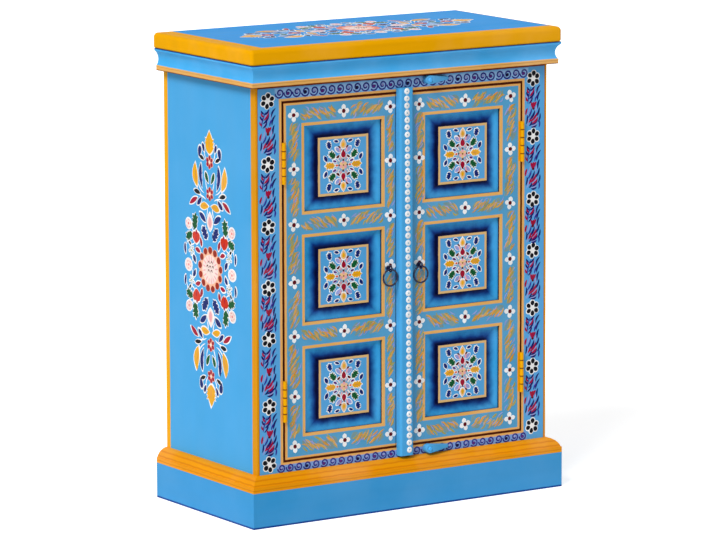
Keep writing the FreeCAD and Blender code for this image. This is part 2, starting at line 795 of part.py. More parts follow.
def make_turn_button(label, level):
    """Wooden button: round head on the nail, tail tapered in width and in thickness."""
    body = new_body(label, "button_place", BUTTON_BACK, level)
    outline = new_sketch(body, "XZ_Plane")
    head_radius, tail_radius, reach = number("button_head"), number("button_tail"), number("button_reach")
    lean = FreeCAD.Vector((head_radius - tail_radius) / reach, 0, 0)
    lean.y = (1 - lean.x ** 2) ** 0.5
    below = FreeCAD.Vector(lean.x, -lean.y, 0)
    tail_centre = FreeCAD.Vector(reach, 0, 0)
    head = outline.addGeometry(Part.Arc(
        lean * head_radius, FreeCAD.Vector(-head_radius, 0, 0), below * head_radius), False)
    lower = outline.addGeometry(Part.LineSegment(below * head_radius, tail_centre + below * tail_radius), False)
    tail = outline.addGeometry(Part.Arc(
        tail_centre + below * tail_radius,
        tail_centre + FreeCAD.Vector(tail_radius, 0, 0),
        tail_centre + lean * tail_radius), False)
    upper = outline.addGeometry(Part.LineSegment(tail_centre + lean * tail_radius, lean * head_radius), False)
    for first, first_end, second, second_end in (
            (head, 2, lower, 1), (lower, 2, tail, 1), (tail, 2, upper, 1), (upper, 2, head, 1)):
        outline.addConstraint(Sketcher.Constraint("Tangent", first, first_end, second, second_end))
    fix_point(outline, head, 3, ("0", "0"))
    fix_point(outline, tail, 3, ("button_reach", "0"))
    for arc, radius in ((head, "button_head"), (tail, "button_tail")):
        index = outline.addConstraint(Sketcher.Constraint("Radius", arc, number(radius)))
        bind(outline, f"Constraints[{index}]", radius)
    draw_circle(outline, ("0", "0"), "nail_radius + running_clearance")
    pad(body, outline, "button_thickness")
    slope = new_sketch(body, "XY_Plane")
    draw_outline(slope, [
        ("button_head", "-button_thickness"),
        ("button_reach + button_tail", "-button_tail_thickness"),
        ("button_reach + 2 * button_tail", "-button_tail_thickness"),
        ("button_reach + 2 * button_tail", "-2 * button_thickness"),
        ("button_head", "-2 * button_thickness"),
    ])
    pocket(body, slope, "4 * button_head", symmetric=True)
    keep(body)


def make_button_nail(label, level):
    """Nail with a coned head that the turn button swings on."""
    body = new_body(label, "button_place", FACE, level)
    neck = "(door_proud + button_clearance + button_thickness + nail_play)"
    profile = new_sketch(body, "XY_Plane")
    draw_outline(profile, [
        ("0", "nail_bite"),
        ("nail_radius", "nail_bite"),
        ("nail_radius", f"-{neck}"),
        ("nail_head_radius", f"-{neck}"),
        ("nail_head_flat", f"-({neck} + nail_head_height)"),
        ("0", f"-({neck} + nail_head_height)"),
    ])
    turn = body.newObject("PartDesign::Revolution", "turn")
    turn.Profile = profile
    turn.ReferenceAxis = (profile, ["V_Axis"])
    keep(body)


def make_turn_buttons():
    """One button and its nail on each frame rail."""
    for name, (_, _, level) in FRAME_RAILS.items():
        make_turn_button(f"{name}_turn_button", level)
        make_button_nail(f"{name}_button_nail", level)


def check_document():
    """Stop if a feature failed, a cut removed nothing or a sub-part isn't one valid shape."""
    for item in doc.Objects:
        if "Invalid" in item.State or "Error" in item.State:
            raise RuntimeError(f"{item.Label} failed: {item.State}")
        if item.TypeId == "PartDesign::Pocket" and item.Shape.Volume >= item.BaseFeature.Shape.Volume:
            raise RuntimeError(f"{item.Label} cuts nothing")
    for item in nodes:
        if item.Shape.isNull() or not item.Shape.isValid():
            raise RuntimeError(f"{item.Label} has no valid shape")


def write_parts():
    """Write each sub-part to its own STEP file."""
    os.makedirs("parts", exist_ok=True)
    for item in nodes:
        item.Shape.exportStep(f"parts/{item.Label}.step")


left_door = DoorPlan("left")
right_door = DoorPlan("right")
make_plinth()
make_cornice()
make_top_board()
make_side_panel("side_panel_left", -1)
make_side_panel("side_panel_right", 1)
make_inner_boards()
make_front_frame()
make_door(left_door)
make_door(right_door)
make_meeting_strip(right_door)
make_hinges((left_door, right_door))
make_pull(left_door)
make_pull(right_door)
make_turn_buttons()
doc.recompute()
check_document()
write_parts()
print(len(nodes), "sub-parts written")
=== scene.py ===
"""Looks of the painted sideboard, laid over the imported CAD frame. Sizes are millimetres unless said."""

import logging
import math
import random
from dataclasses import dataclass, replace
from enum import Enum
from itertools import product
from typing import Iterable, Sequence

import bpy
from mathutils import Matrix, Vector


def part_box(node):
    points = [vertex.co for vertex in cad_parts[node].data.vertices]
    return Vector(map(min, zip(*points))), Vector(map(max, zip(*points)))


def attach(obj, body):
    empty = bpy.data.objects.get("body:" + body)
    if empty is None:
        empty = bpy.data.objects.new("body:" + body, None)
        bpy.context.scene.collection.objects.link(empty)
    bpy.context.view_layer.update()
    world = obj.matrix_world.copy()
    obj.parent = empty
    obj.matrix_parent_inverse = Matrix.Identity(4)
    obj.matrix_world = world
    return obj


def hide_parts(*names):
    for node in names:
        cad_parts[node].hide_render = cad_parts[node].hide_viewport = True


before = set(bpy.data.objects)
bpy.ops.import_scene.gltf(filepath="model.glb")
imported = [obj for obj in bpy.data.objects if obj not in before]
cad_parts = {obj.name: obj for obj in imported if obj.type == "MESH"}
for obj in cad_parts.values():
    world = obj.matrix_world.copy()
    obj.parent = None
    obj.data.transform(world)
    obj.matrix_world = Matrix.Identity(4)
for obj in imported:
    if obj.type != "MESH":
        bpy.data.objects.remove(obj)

MM = 0.001
SEED = 11

# Half size, in millimetres, of a box that has no edge along an axis
ENDLESS = 9000.0

Colour = tuple[float, float, float, float]
Pair = tuple[float, float]
Triple = tuple[float, float, float]
Feed = bpy.types.NodeSocket | float | int | bool | str | Sequence[float] | bpy.types.ID

log = logging.getLogger("sideboard")


def linear(red: int, green: int, blue: int) -> Colour:
    """Scene-linear colour of an sRGB one.

    Args:
        red: Red channel, 0 to 255.
        green: Green channel, 0 to 255.
        blue: Blue channel, 0 to 255.

    Returns:
        Linear red, green and blue with full opacity.
    """
    channels = []
    for level in (red, green, blue):
        part = level / 255.0
        channels.append(part / 12.92 if part <= 0.04045 else ((part + 0.055) / 1.055) ** 2.4)
    return (*channels, 1.0)


class Pigment(Enum):
    """Colours on the painter's palette."""

    SKY = linear(77, 170, 229)
    TOP_BLUE = linear(56, 160, 236)
    PLINTH_BLUE = linear(69, 158, 217)
    CORNICE_BLUE = linear(82, 180, 241)
    FRAME_BLUE = linear(93, 172, 231)
    DOOR_BLUE = linear(89, 164, 209)
    RECESS_BLUE = linear(69, 182, 254)
    FIELD_BLUE = linear(88, 168, 226)
    SHADOW_BLUE = linear(12, 60, 142)
    AMBER = linear(243, 172, 8)
    HONEY = linear(224, 150, 8)
    LINE_AMBER = linear(238, 180, 102)
    MOULDING = linear(242, 156, 12)
    CREAM = linear(228, 187, 126)
    RUST = linear(214, 122, 10)
    UMBER = linear(112, 44, 10)
    NAVY = linear(6, 12, 56)
    STEEL = linear(128, 128, 132)
    INK = linear(7, 8, 18)
    INDIGO = linear(26, 26, 104)
    COBALT = linear(16, 36, 108)
    VIOLET = linear(54, 50, 150)
    IRIS = linear(48, 50, 140)
    PERIWINKLE = linear(128, 166, 226)
    # Paler copy of the band blue, painted lighter to lift the shade that the cornice casts on the top band
    SHADE_LIFTING_LILAC = linear(158, 204, 252)
    PURPLE = linear(92, 44, 128)
    LAVENDER = linear(156, 162, 220)
    SAGE = linear(126, 156, 158)
    OLIVE = linear(172, 164, 92)
    OCHRE = linear(218, 168, 92)
    ORANGE = linear(224, 156, 66)
    SAFFRON = linear(238, 172, 34)
    PEACH = linear(246, 202, 148)
    SALMON = linear(252, 188, 156)
    MIST = linear(146, 186, 212)
    PINK = linear(244, 172, 178)
    BLUSH = linear(252, 230, 222)
    CORAL = linear(226, 98, 74)
    SCARLET = linear(206, 48, 20)
    BRICK = linear(158, 40, 22)
    CRIMSON = linear(164, 20, 50)
    WINE = linear(168, 24, 68)
    MAROON = linear(92, 10, 26)
    GREEN = linear(10, 86, 44)
    WHITE = linear(253, 253, 252)
    WOOD = linear(198, 160, 112)


class Layer(Enum):
    """Height of a coat of paint over the wood, so that later strokes lie over earlier ones."""

    WASH = 0.06
    OUTLINE = 0.14
    FILL = 0.26
    DETAIL = 0.36
    TOUCH = 0.44
    DOT = 0.60
    EYE = 0.74


# Node trees


class NodeSheet:
    """Lays nodes in one tree and joins them."""

    def __init__(self, tree: bpy.types.NodeTree) -> None:
        """Keep the tree that the nodes go into."""
        self.tree = tree

    def feed(self, socket: bpy.types.NodeSocket, value: Feed) -> None:
        """Join a socket to another one, or set its own value.

        Args:
            socket: Input to fill.
            value: Output of another node, or a constant.
        """
        if isinstance(value, bpy.types.NodeSocket):
            self.tree.links.new(value, socket)
        else:
            socket.default_value = value

    def node(
        self, kind: str, inputs: dict[str | int, Feed] | None = None, **settings: object
    ) -> bpy.types.Node:
        """Add a node.

        Args:
            kind: Type of the node.
            inputs: What goes into its sockets, by name or number.
            **settings: Its other properties.

        Returns:
            The new node.
        """
        made = self.tree.nodes.new(kind)
        for name, value in settings.items():
            setattr(made, name, value)
        for key, value in (inputs or {}).items():
            self.feed(made.inputs[key], value)
        return made

    def math(self, operation: str, *values: Feed) -> bpy.types.NodeSocket:
        """Output of a math node on the given values."""
        return self.node("ShaderNodeMath", dict(enumerate(values)), operation=operation).outputs[0]

    def vector(self, operation: str, *values: Feed) -> bpy.types.NodeSocket:
        """Output of a vector math node on the given vectors."""
        return self.node("ShaderNodeVectorMath", dict(enumerate(values)), operation=operation).outputs[0]

    def scaled(self, vector: Feed, factor: Feed) -> bpy.types.NodeSocket:
        """A vector made longer by a factor."""
        inputs = {"Vector": vector, "Scale": factor}
        return self.node("ShaderNodeVectorMath", inputs, operation="SCALE").outputs[0]

    def parts(self, vector: Feed) -> Sequence[bpy.types.NodeSocket]:
        """The three coordinates of a vector."""
        return self.node("ShaderNodeSeparateXYZ", {0: vector}).outputs

    def noise(self, point: Feed, scale: float, detail: float) -> bpy.types.NodeSocket:
        """Noise about zero, from -0.5 to 0.5.

        Args:
            point: Where it is read.
            scale: Waves per unit.
            detail: Finer layers on top.

        Returns:
            The output that holds it.
        """
        inputs = {"Vector": point, "Scale": scale, "Detail": detail}
        return self.math("SUBTRACT", self.node("ShaderNodeTexNoise", inputs).outputs[0], 0.5)

    def step(self, value: Feed, low: Feed, high: Feed) -> bpy.types.NodeSocket:
        """Smooth step of a value from 0 at the low end to 1 at the high end."""
        inputs = {"Value": value, "From Min": low, "From Max": high}
        return self.node("ShaderNodeMapRange", inputs, interpolation_type="SMOOTHSTEP").outputs[0]

    def over(self, mask: Feed, below: Feed, above: Feed) -> bpy.types.NodeSocket:
        """One colour laid over another where the mask is 1."""
        inputs = {0: mask, 6: below, 7: above}
        return self.node("ShaderNodeMix", inputs, data_type="RGBA").outputs[2]

    def group(self, tree: bpy.types.NodeTree, inputs: dict[str | int, Feed]) -> bpy.types.Node:
        """Place a shader node group with its own values."""
        return self.node("ShaderNodeGroup", inputs, node_tree=tree)

    def attribute(self, name: str, kind: str) -> bpy.types.NodeSocket:
        """Output that reads a named attribute in a geometry tree."""
        return self.node("GeometryNodeInputNamedAttribute", {"Name": name}, data_type=kind).outputs[0]


def new_tree(
    name: str, kind: str, inputs: dict[str, str], outputs: dict[str, str]
) -> tuple[NodeSheet, bpy.types.Node, bpy.types.Node]:
    """Start a node group with named sockets.

    Args:
        name: Name of the group.
        kind: Type of the tree.
        inputs: Type of each input socket, by name.
        outputs: Type of each output socket, by name.

    Returns:
        The sheet of the tree, its input node and its output node.
    """
    tree = bpy.data.node_groups.new(name, kind)
    for side, sockets in (("INPUT", inputs), ("OUTPUT", outputs)):
        for label, socket_type in sockets.items():
            tree.interface.new_socket(name=label, in_out=side, socket_type=f"NodeSocket{socket_type}")
    sheet = NodeSheet(tree)
    return sheet, sheet.node("NodeGroupInput"), sheet.node("NodeGroupOutput")


# Waves per metre of the unevenness in brushed paint, and how much each part of it counts
CLOUD_WAVES = 11.0
GRIT_WAVES = 900.0
STREAK_SHARE = 1.3
DULLNESS_SHARE = 0.22
GRIT_SHARE = 0.25

# Waves per metre along the edge of a line that is painted by hand
EDGE_WAVES = 70.0

# How strongly the height of paint or grain tilts a surface
BUMP_STRENGTH = 0.6


def brushed_paint_group() -> bpy.types.NodeTree:
    """Unevenness of paint laid on with a broad brush.

    Returns:
        Group that shifts a colour and gives roughness and height.
    """
    inputs = {"Point": "Vector", "Color": "Color", "Stretch": "Vector",
              "Mottle": "Float", "Dullness": "Float"}
    outputs = {"Color": "Color", "Roughness": "Float", "Height": "Float"}
    sheet, given, made = new_tree("brushed_paint", "ShaderNodeTree", inputs, outputs)
    point, mottle = given.outputs["Point"], given.outputs["Mottle"]
    streaks = sheet.noise(sheet.vector("MULTIPLY", point, given.outputs["Stretch"]), scale=1.0, detail=3.0)
    clouds = sheet.noise(point, CLOUD_WAVES, detail=3.0)
    grit = sheet.noise(point, GRIT_WAVES, detail=1.0)
    uneven = sheet.math("MULTIPLY_ADD", streaks, STREAK_SHARE, clouds)
    level = sheet.math("MULTIPLY_ADD", uneven, mottle, 1.0)
    depth = sheet.math("SUBTRACT", 1.0, sheet.math("MULTIPLY", clouds, mottle))
    shifted = sheet.node("ShaderNodeHueSaturation", {
        "Color": given.outputs["Color"], "Value": level, "Saturation": depth})
    sheet.feed(made.inputs["Color"], shifted.outputs[0])
    dulled = sheet.math("MULTIPLY_ADD", uneven, DULLNESS_SHARE, given.outputs["Dullness"])
    sheet.feed(made.inputs["Roughness"], dulled)
    sheet.feed(made.inputs["Height"], sheet.math("MULTIPLY_ADD", grit, GRIT_SHARE, streaks))
    return sheet.tree


def painted_line_group() -> bpy.types.NodeTree:
    """Mask between two distances from the faces of a box, with a hand-drawn edge.

    Returns:
        Group whose inputs are in metres, with distances below 0 inside the box.
    """
    inputs = {"Point": "Vector", "Centre": "Vector", "Half": "Vector",
              "Start": "Float", "End": "Float", "Soft": "Float", "Wobble": "Float"}
    sheet, given, made = new_tree("painted_line", "ShaderNodeTree", inputs, {"Mask": "Float"})
    values = given.outputs
    offset = sheet.vector("ABSOLUTE", sheet.vector("SUBTRACT", values["Point"], values["Centre"]))
    x, y, z = sheet.parts(sheet.vector("SUBTRACT", offset, values["Half"]))
    straight = sheet.math("MAXIMUM", sheet.math("MAXIMUM", x, y), z)
    waver = sheet.noise(values["Point"], EDGE_WAVES, detail=3.0)
    distance = sheet.math("MULTIPLY_ADD", waver, values["Wobble"], straight)
    edges = []
    for end in ("Start", "End"):
        low = sheet.math("SUBTRACT", values[end], values["Soft"])
        high = sheet.math("ADD", values[end], values["Soft"])
        edges.append(sheet.step(distance, low, high))
    sheet.feed(made.inputs["Mask"], sheet.math("SUBTRACT", *edges))
    return sheet.tree


BRUSHED_PAINT = brushed_paint_group()
PAINTED_LINE = painted_line_group()


# Finishes


def blank_material(name: str) -> tuple[bpy.types.Material, NodeSheet, bpy.types.Node]:
    """Start a material.

    Args:
        name: Name of the material.

    Returns:
        The material, the sheet of its tree and its Principled BSDF.
    """
    material = bpy.data.materials.new(name)
    material.use_nodes = True
    material.node_tree.nodes.clear()
    sheet = NodeSheet(material.node_tree)
    shader = sheet.node("ShaderNodeBsdfPrincipled")
    sheet.node("ShaderNodeOutputMaterial", {"Surface": shader.outputs[0]})
    return material, sheet, shader


def object_point(sheet: NodeSheet) -> bpy.types.NodeSocket:
    """Object coordinates, which are the cabinet's own, in metres."""
    return sheet.node("ShaderNodeTexCoord").outputs["Object"]


def raise_bump(sheet: NodeSheet, shader: bpy.types.Node, height: Feed, depth: float) -> None:
    """Let a height roughen the shader's surface by a depth in millimetres."""
    bump = sheet.node("ShaderNodeBump", {"Height": height, "Distance": depth * MM, "Strength": BUMP_STRENGTH})
    sheet.feed(shader.inputs["Normal"], bump.outputs[0])


@dataclass(frozen=True)
class PaintedLine:
    """Line or field of another colour, between two distances from the faces of a box."""

    pigment: Pigment
    half: Triple
    start: float
    end: float
    centre: Triple = (0.0, 0.0, 0.0)
    soft: float = 0.35
    wobble: float = 1.0

    @classmethod
    def level(cls, pigment: Pigment, low: float, high: float, **edge: float) -> "PaintedLine":
        """Line between two heights over the floor, all round the cabinet."""
        return cls(pigment, (ENDLESS, ENDLESS, high), low - high, 0.0, **edge)

    @classmethod
    def behind(cls, pigment: Pigment, face: float, reach: float, **edge: float) -> "PaintedLine":
        """Field of all that lies further than a reach behind a face at the front."""
        return cls(pigment, (ENDLESS, -face - reach, ENDLESS), -ENDLESS, 0.0, **edge)

    def mask(self, sheet: NodeSheet, point: Feed) -> bpy.types.NodeSocket:
        """Place the shader group that shows where the line is.

        Args:
            sheet: Sheet of the material's tree.
            point: Where the mask is read.

        Returns:
            Output that is 1 on the line.
        """
        return sheet.group(PAINTED_LINE, {
            "Point": point,
            "Centre": Vector(self.centre) * MM,
            "Half": Vector(self.half) * MM,
            "Start": self.start * MM,
            "End": self.end * MM,
            "Soft": self.soft * MM,
            "Wobble": self.wobble * MM,
        }).outputs["Mask"]


@dataclass(frozen=True)
class Coat:
    """How paint lies: its streaks per metre, unevenness, dullness, shine and relief."""

    stretch: Triple
    mottle: float = 0.10
    dullness: float = 0.5
    shine: float = 0.07
    relief: float = 0.25

    def lay(self, sheet: NodeSheet, shader: bpy.types.Node, point: Feed, colour: Feed) -> None:
        """Feed a shader with brushed paint.

        Args:
            sheet: Sheet of the material's tree.
            shader: Its Principled BSDF.
            point: Where the paint is read.
            colour: The paint's colour before the brush makes it uneven.
        """
        paint = sheet.group(BRUSHED_PAINT, {
            "Point": point, "Color": colour, "Stretch": self.stretch,
            "Mottle": self.mottle, "Dullness": self.dullness}).outputs
        sheet.feed(shader.inputs["Base Color"], paint["Color"])
        sheet.feed(shader.inputs["Roughness"], paint["Roughness"])
        shader.inputs["Specular IOR Level"].default_value = self.shine
        raise_bump(sheet, shader, paint["Height"], self.relief)


@dataclass(frozen=True)
class PaintFinish:
    """Brushed paint in one ground colour with lines of other colours over it."""

    name: str
    ground: Pigment
    coat: Coat
    lines: tuple[PaintedLine, ...] = ()

    def material(self) -> bpy.types.Material:
        """Build the material, with later lines over earlier ones.

        Returns:
            The finished material.
        """
        material, sheet, shader = blank_material(self.name)
        point = object_point(sheet)
        colour: Feed = self.ground.value
        for line in self.lines:
            colour = sheet.over(line.mask(sheet, point), colour, line.pigment.value)
        self.coat.lay(sheet, shader, point, colour)
        return material


@dataclass(frozen=True)
class BrushFinish:
    """Thin paint of the ornament, in the colour that each stroke carries."""

    name: str
    coat: Coat = Coat((90.0, 90.0, 60.0), mottle=0.22, dullness=0.40, relief=0.1)
    attribute: str = "pigment"

    def material(self) -> bpy.types.Material:
        """Build the material from the stroke's own colour.

        Returns:
            The finished material.
        """
        material, sheet, shader = blank_material(self.name)
        carried = sheet.node("ShaderNodeAttribute", attribute_name=self.attribute)
        self.coat.lay(sheet, shader, object_point(sheet), carried.outputs["Color"])
        return material


@dataclass(frozen=True)
class WoodFinish:
    """Bare sanded wood with long grain, dark in its pores."""

    name: str
    light: Colour = linear(206, 168, 120)
    dark: Colour = linear(156, 112, 70)
    grain: Triple = (0.6, 8.0, 8.0)
    figure_waves: float = 6.0
    pore_waves: float = 60.0
    pore_share: float = 0.5
    all_dark: float = -0.3
    all_light: float = 0.35
    dullness: float = 0.62
    pore_dullness: float = 0.2
    relief: float = 0.3

    def material(self) -> bpy.types.Material:
        """Build the material, with the grain drawn out along the board.

        Returns:
            The finished material.
        """
        material, sheet, shader = blank_material(self.name)
        drawn = sheet.vector("MULTIPLY", object_point(sheet), self.grain)
        figure = sheet.noise(drawn, self.figure_waves, detail=4.0)
        pores = sheet.noise(drawn, self.pore_waves, detail=2.0)
        streak = sheet.math("MULTIPLY_ADD", pores, self.pore_share, figure)
        colour = sheet.over(sheet.step(streak, self.all_dark, self.all_light), self.dark, self.light)
        sheet.feed(shader.inputs["Base Color"], colour)
        dulled = sheet.math("MULTIPLY_ADD", pores, self.pore_dullness, self.dullness)
        sheet.feed(shader.inputs["Roughness"], dulled)
        raise_bump(sheet, shader, streak, self.relief)
        return material


# Brush strokes

# Sizes that each point of a painting hands to the geometry tree
STROKE_SIZES = ("turn", "long", "wide", "bend", "root", "tip", "rise", "flat")

# Directions on the painted face that each point hands to the tree
FACE_AXES = ("across", "upwards")

# Attributes that the tree itself keeps: a stroke's middle, and a corner's place on the unit dome
MIDDLE = "place"
CORNER = "shape"

# Corners round a stroke, rings of its dome, and how deep its rim is sunk in the face
OUTLINE_POINTS = 16
DOME_RINGS = 4
SUNK = 0.05

# Moves a dome's middle ring outwards, so that a flat stroke is level up to near its rim
RIM_SHARE = 0.43

# Strokes of one layer differ in height by up to this much, so that none lies in another's plane
LAYER_ROOM = 0.05
GOLDEN_SHARE = 0.618034


@dataclass(frozen=True)
class Stroke:
    """One touch of the brush: place, half length and half width, and how it turns, bends and tapers."""

    x: float
    y: float
    long: float
    wide: float
    turn: float = 0.0
    bend: float = 0.0
    root: float = 0.0
    tip: float = 0.0

    def mirrored(self, across: int, upwards: int) -> "Stroke":
        """The same stroke on another side of a motif.

        Args:
            across: -1 to mirror left and right, else 1.
            upwards: -1 to mirror top and bottom, else 1.

        Returns:
            The mirrored stroke.
        """
        turn = self.turn if across > 0 else 180.0 - self.turn
        bend = self.bend * across * upwards
        return replace(self, x=self.x * across, y=self.y * upwards, turn=turn * upwards, bend=bend)

    def moved(self, x: float, y: float) -> "Stroke":
        """The same stroke at another place."""
        return replace(self, x=self.x + x, y=self.y + y)

    def grown(self, edge: float) -> "Stroke":
        """The stroke with an edge of its own all round it, longer where it tapers."""
        longer = edge * (1.0 + 0.5 * (self.root + self.tip))
        return replace(self, long=self.long + longer, wide=self.wide + edge)

    def full_width(self) -> float:
        """Half width before the tapers take their part.

        Returns:
            The half width for which the widest place of the tapered stroke is as wide as it says.
        """
        # The dome's round outline adds half a power to the taper at each end
        low, high = self.root + 0.5, self.tip + 0.5
        peak = low / (low + high)
        return self.wide / (2.0 * peak ** low * (1.0 - peak) ** high)


@dataclass(frozen=True)
class Canvas:
    """A flat face that is painted on, with its own across and upward directions."""

    origin: Triple
    across: Triple
    upwards: Triple

    def place(self, x: float, y: float) -> Vector:
        """Point of the cabinet, in metres, at a place on the canvas."""
        return (Vector(self.origin) + Vector(self.across) * x + Vector(self.upwards) * y) * MM


def stored(sheet: NodeSheet, geometry: Feed, name: str) -> bpy.types.NodeSocket:
    """Keep the place of each point of a geometry under a name.

    Args:
        sheet: Sheet of the tree.
        geometry: The points.
        name: Name of the attribute.

    Returns:
        The geometry that carries it.
    """
    place = sheet.node("GeometryNodeInputPosition").outputs[0]
    return sheet.node("GeometryNodeStoreNamedAttribute", {
        "Geometry": geometry, "Name": name, "Value": place}, data_type="FLOAT_VECTOR").outputs[0]


def brush_tree() -> bpy.types.NodeTree:
    """Geometry tree that turns points with stroke sizes into low domes of paint.

    Returns:
        Tree with inputs for the shape's fineness and for how far a stroke's rim is sunk.
    """
    sheet, given, made = new_tree(
        "brush_strokes", "GeometryNodeTree",
        {"Geometry": "Geometry", "Outline Points": "Int", "Sunk": "Float", "Paint": "Material"},
        {"Geometry": "Geometry"})
    dome = sheet.node("GeometryNodeMeshUVSphere", {
        "Segments": given.outputs["Outline Points"], "Rings": DOME_RINGS, "Radius": 1.0})
    spread = sheet.node("GeometryNodeInstanceOnPoints", {
        "Points": stored(sheet, given.outputs["Geometry"], MIDDLE),
        "Instance": stored(sheet, dome.outputs["Mesh"], CORNER)})
    real = sheet.node("GeometryNodeRealizeInstances", {"Geometry": spread.outputs["Instances"]})

    # Place of a corner on the unit dome, with the lower half pressed flat and the middle ring moved out
    size = {name: sheet.attribute(name, "FLOAT") for name in STROKE_SIZES}
    along_unit, aside_unit, up_unit = sheet.parts(sheet.attribute(CORNER, "FLOAT_VECTOR"))
    up_unit = sheet.math("MAXIMUM", up_unit, 0.0)
    widen = sheet.math("MULTIPLY_ADD", sheet.math("MULTIPLY", up_unit, size["flat"]), RIM_SHARE, 1.0)
    along_unit, aside_unit = (sheet.math("MULTIPLY", unit, widen) for unit in (along_unit, aside_unit))

    # Tapered and bent outline, turned on the face
    done = sheet.math("MULTIPLY_ADD", along_unit, 0.5, 0.5)
    left = sheet.math("MAXIMUM", sheet.math("SUBTRACT", 1.0, done), 0.0)
    taper = sheet.math(
        "MULTIPLY", sheet.math("POWER", sheet.math("MAXIMUM", done, 0.0), size["root"]),
        sheet.math("POWER", left, size["tip"]))
    along = sheet.math("MULTIPLY", along_unit, size["long"])
    half_width = sheet.math("MULTIPLY", sheet.math("MULTIPLY", aside_unit, size["wide"]), taper)
    bow = sheet.math("SUBTRACT", 1.0, sheet.math("MULTIPLY", along_unit, along_unit))
    aside = sheet.math("MULTIPLY_ADD", bow, size["bend"], half_width)
    cosine, sine = sheet.math("COSINE", size["turn"]), sheet.math("SINE", size["turn"])
    right = sheet.math(
        "SUBTRACT", sheet.math("MULTIPLY", along, cosine), sheet.math("MULTIPLY", aside, sine))
    rise = sheet.math("MULTIPLY_ADD", along, sine, sheet.math("MULTIPLY", aside, cosine))

    # Height over the face: level from the middle ring inwards on a flat stroke, round on a dot
    sunk = given.outputs["Sunk"]
    level_top = sheet.math("MINIMUM", sheet.math("MULTIPLY", up_unit, math.sqrt(2.0)), 1.0)
    round_top = sheet.math("SQRT", up_unit)
    flatter = sheet.math("SUBTRACT", level_top, round_top)
    crown = sheet.math("MULTIPLY_ADD", flatter, size["flat"], round_top)
    thick = sheet.math("ADD", size["rise"], sunk)
    lift = sheet.math("SUBTRACT", sheet.math("MULTIPLY", crown, thick), sunk)

    across, upwards = (sheet.attribute(name, "FLOAT_VECTOR") for name in FACE_AXES)
    point = sheet.attribute(MIDDLE, "FLOAT_VECTOR")
    outwards = sheet.vector("CROSS_PRODUCT", across, upwards)
    for direction, length in ((across, right), (upwards, rise), (outwards, lift)):
        point = sheet.vector("ADD", point, sheet.scaled(direction, length))
    put = sheet.node("GeometryNodeSetPosition", {"Geometry": real.outputs["Geometry"], "Position": point})
    smooth = sheet.node("GeometryNodeSetShadeSmooth", {
        "Geometry": put.outputs["Geometry"], "Shade Smooth": sheet.math("LESS_THAN", size["flat"], 0.5)})
    coated = sheet.node("GeometryNodeSetMaterial", {
        "Geometry": smooth.outputs["Geometry"], "Material": given.outputs["Paint"]})
    sheet.feed(made.inputs["Geometry"], coated.outputs["Geometry"])
    return sheet.tree


BRUSH_TREE = brush_tree()


def set_inputs(modifier: bpy.types.Modifier, values: dict[str, object]) -> None:
    """Set a geometry tree's named inputs on its modifier.

    Args:
        modifier: Modifier that holds the tree.
        values: Value of each input, by name.
    """
    for item in modifier.node_group.interface.items_tree:
        if item.name in values and item.in_out == "INPUT":
            modifier[item.identifier] = values[item.name]


def new_object(name: str, mesh: bpy.types.Mesh) -> bpy.types.Object:
    """Put a mesh in the scene.

    Args:
        name: Name of the piece.
        mesh: Its mesh.

    Returns:
        The object, at the origin.
    """
    made = bpy.data.objects.new(name, mesh)
    bpy.context.scene.collection.objects.link(made)
    return made


def made_by_tree(
    name: str, mesh: bpy.types.Mesh, tree: bpy.types.NodeTree, values: dict[str, object]
) -> bpy.types.Object:
    """Run a geometry tree on a mesh and keep what it makes as a plain mesh.

    Args:
        name: Name of the piece.
        mesh: Mesh that goes into the tree.
        tree: The geometry tree.
        values: Value of each named input.

    Returns:
        The finished object, without the modifier.
    """
    piece = new_object(name, mesh)
    modifier = piece.modifiers.new("tree", "NODES")
    modifier.node_group = tree
    set_inputs(modifier, values)
    graph = bpy.context.evaluated_depsgraph_get()
    result = bpy.data.meshes.new_from_object(
        piece.evaluated_get(graph), preserve_all_data_layers=True, depsgraph=graph)
    piece.modifiers.remove(modifier)
    piece.data = result
    bpy.data.meshes.remove(mesh)
    result.name = name
    return piece


@dataclass(frozen=True)
class Unsteadiness:
    """How far a stroke strays from where and how it was meant."""

    shift: float = 0.3
    long: Pair = (0.95, 1.06)
    wide: Pair = (0.93, 1.07)
    turn: float = 4.0
    shade: Pair = (0.90, 1.08)


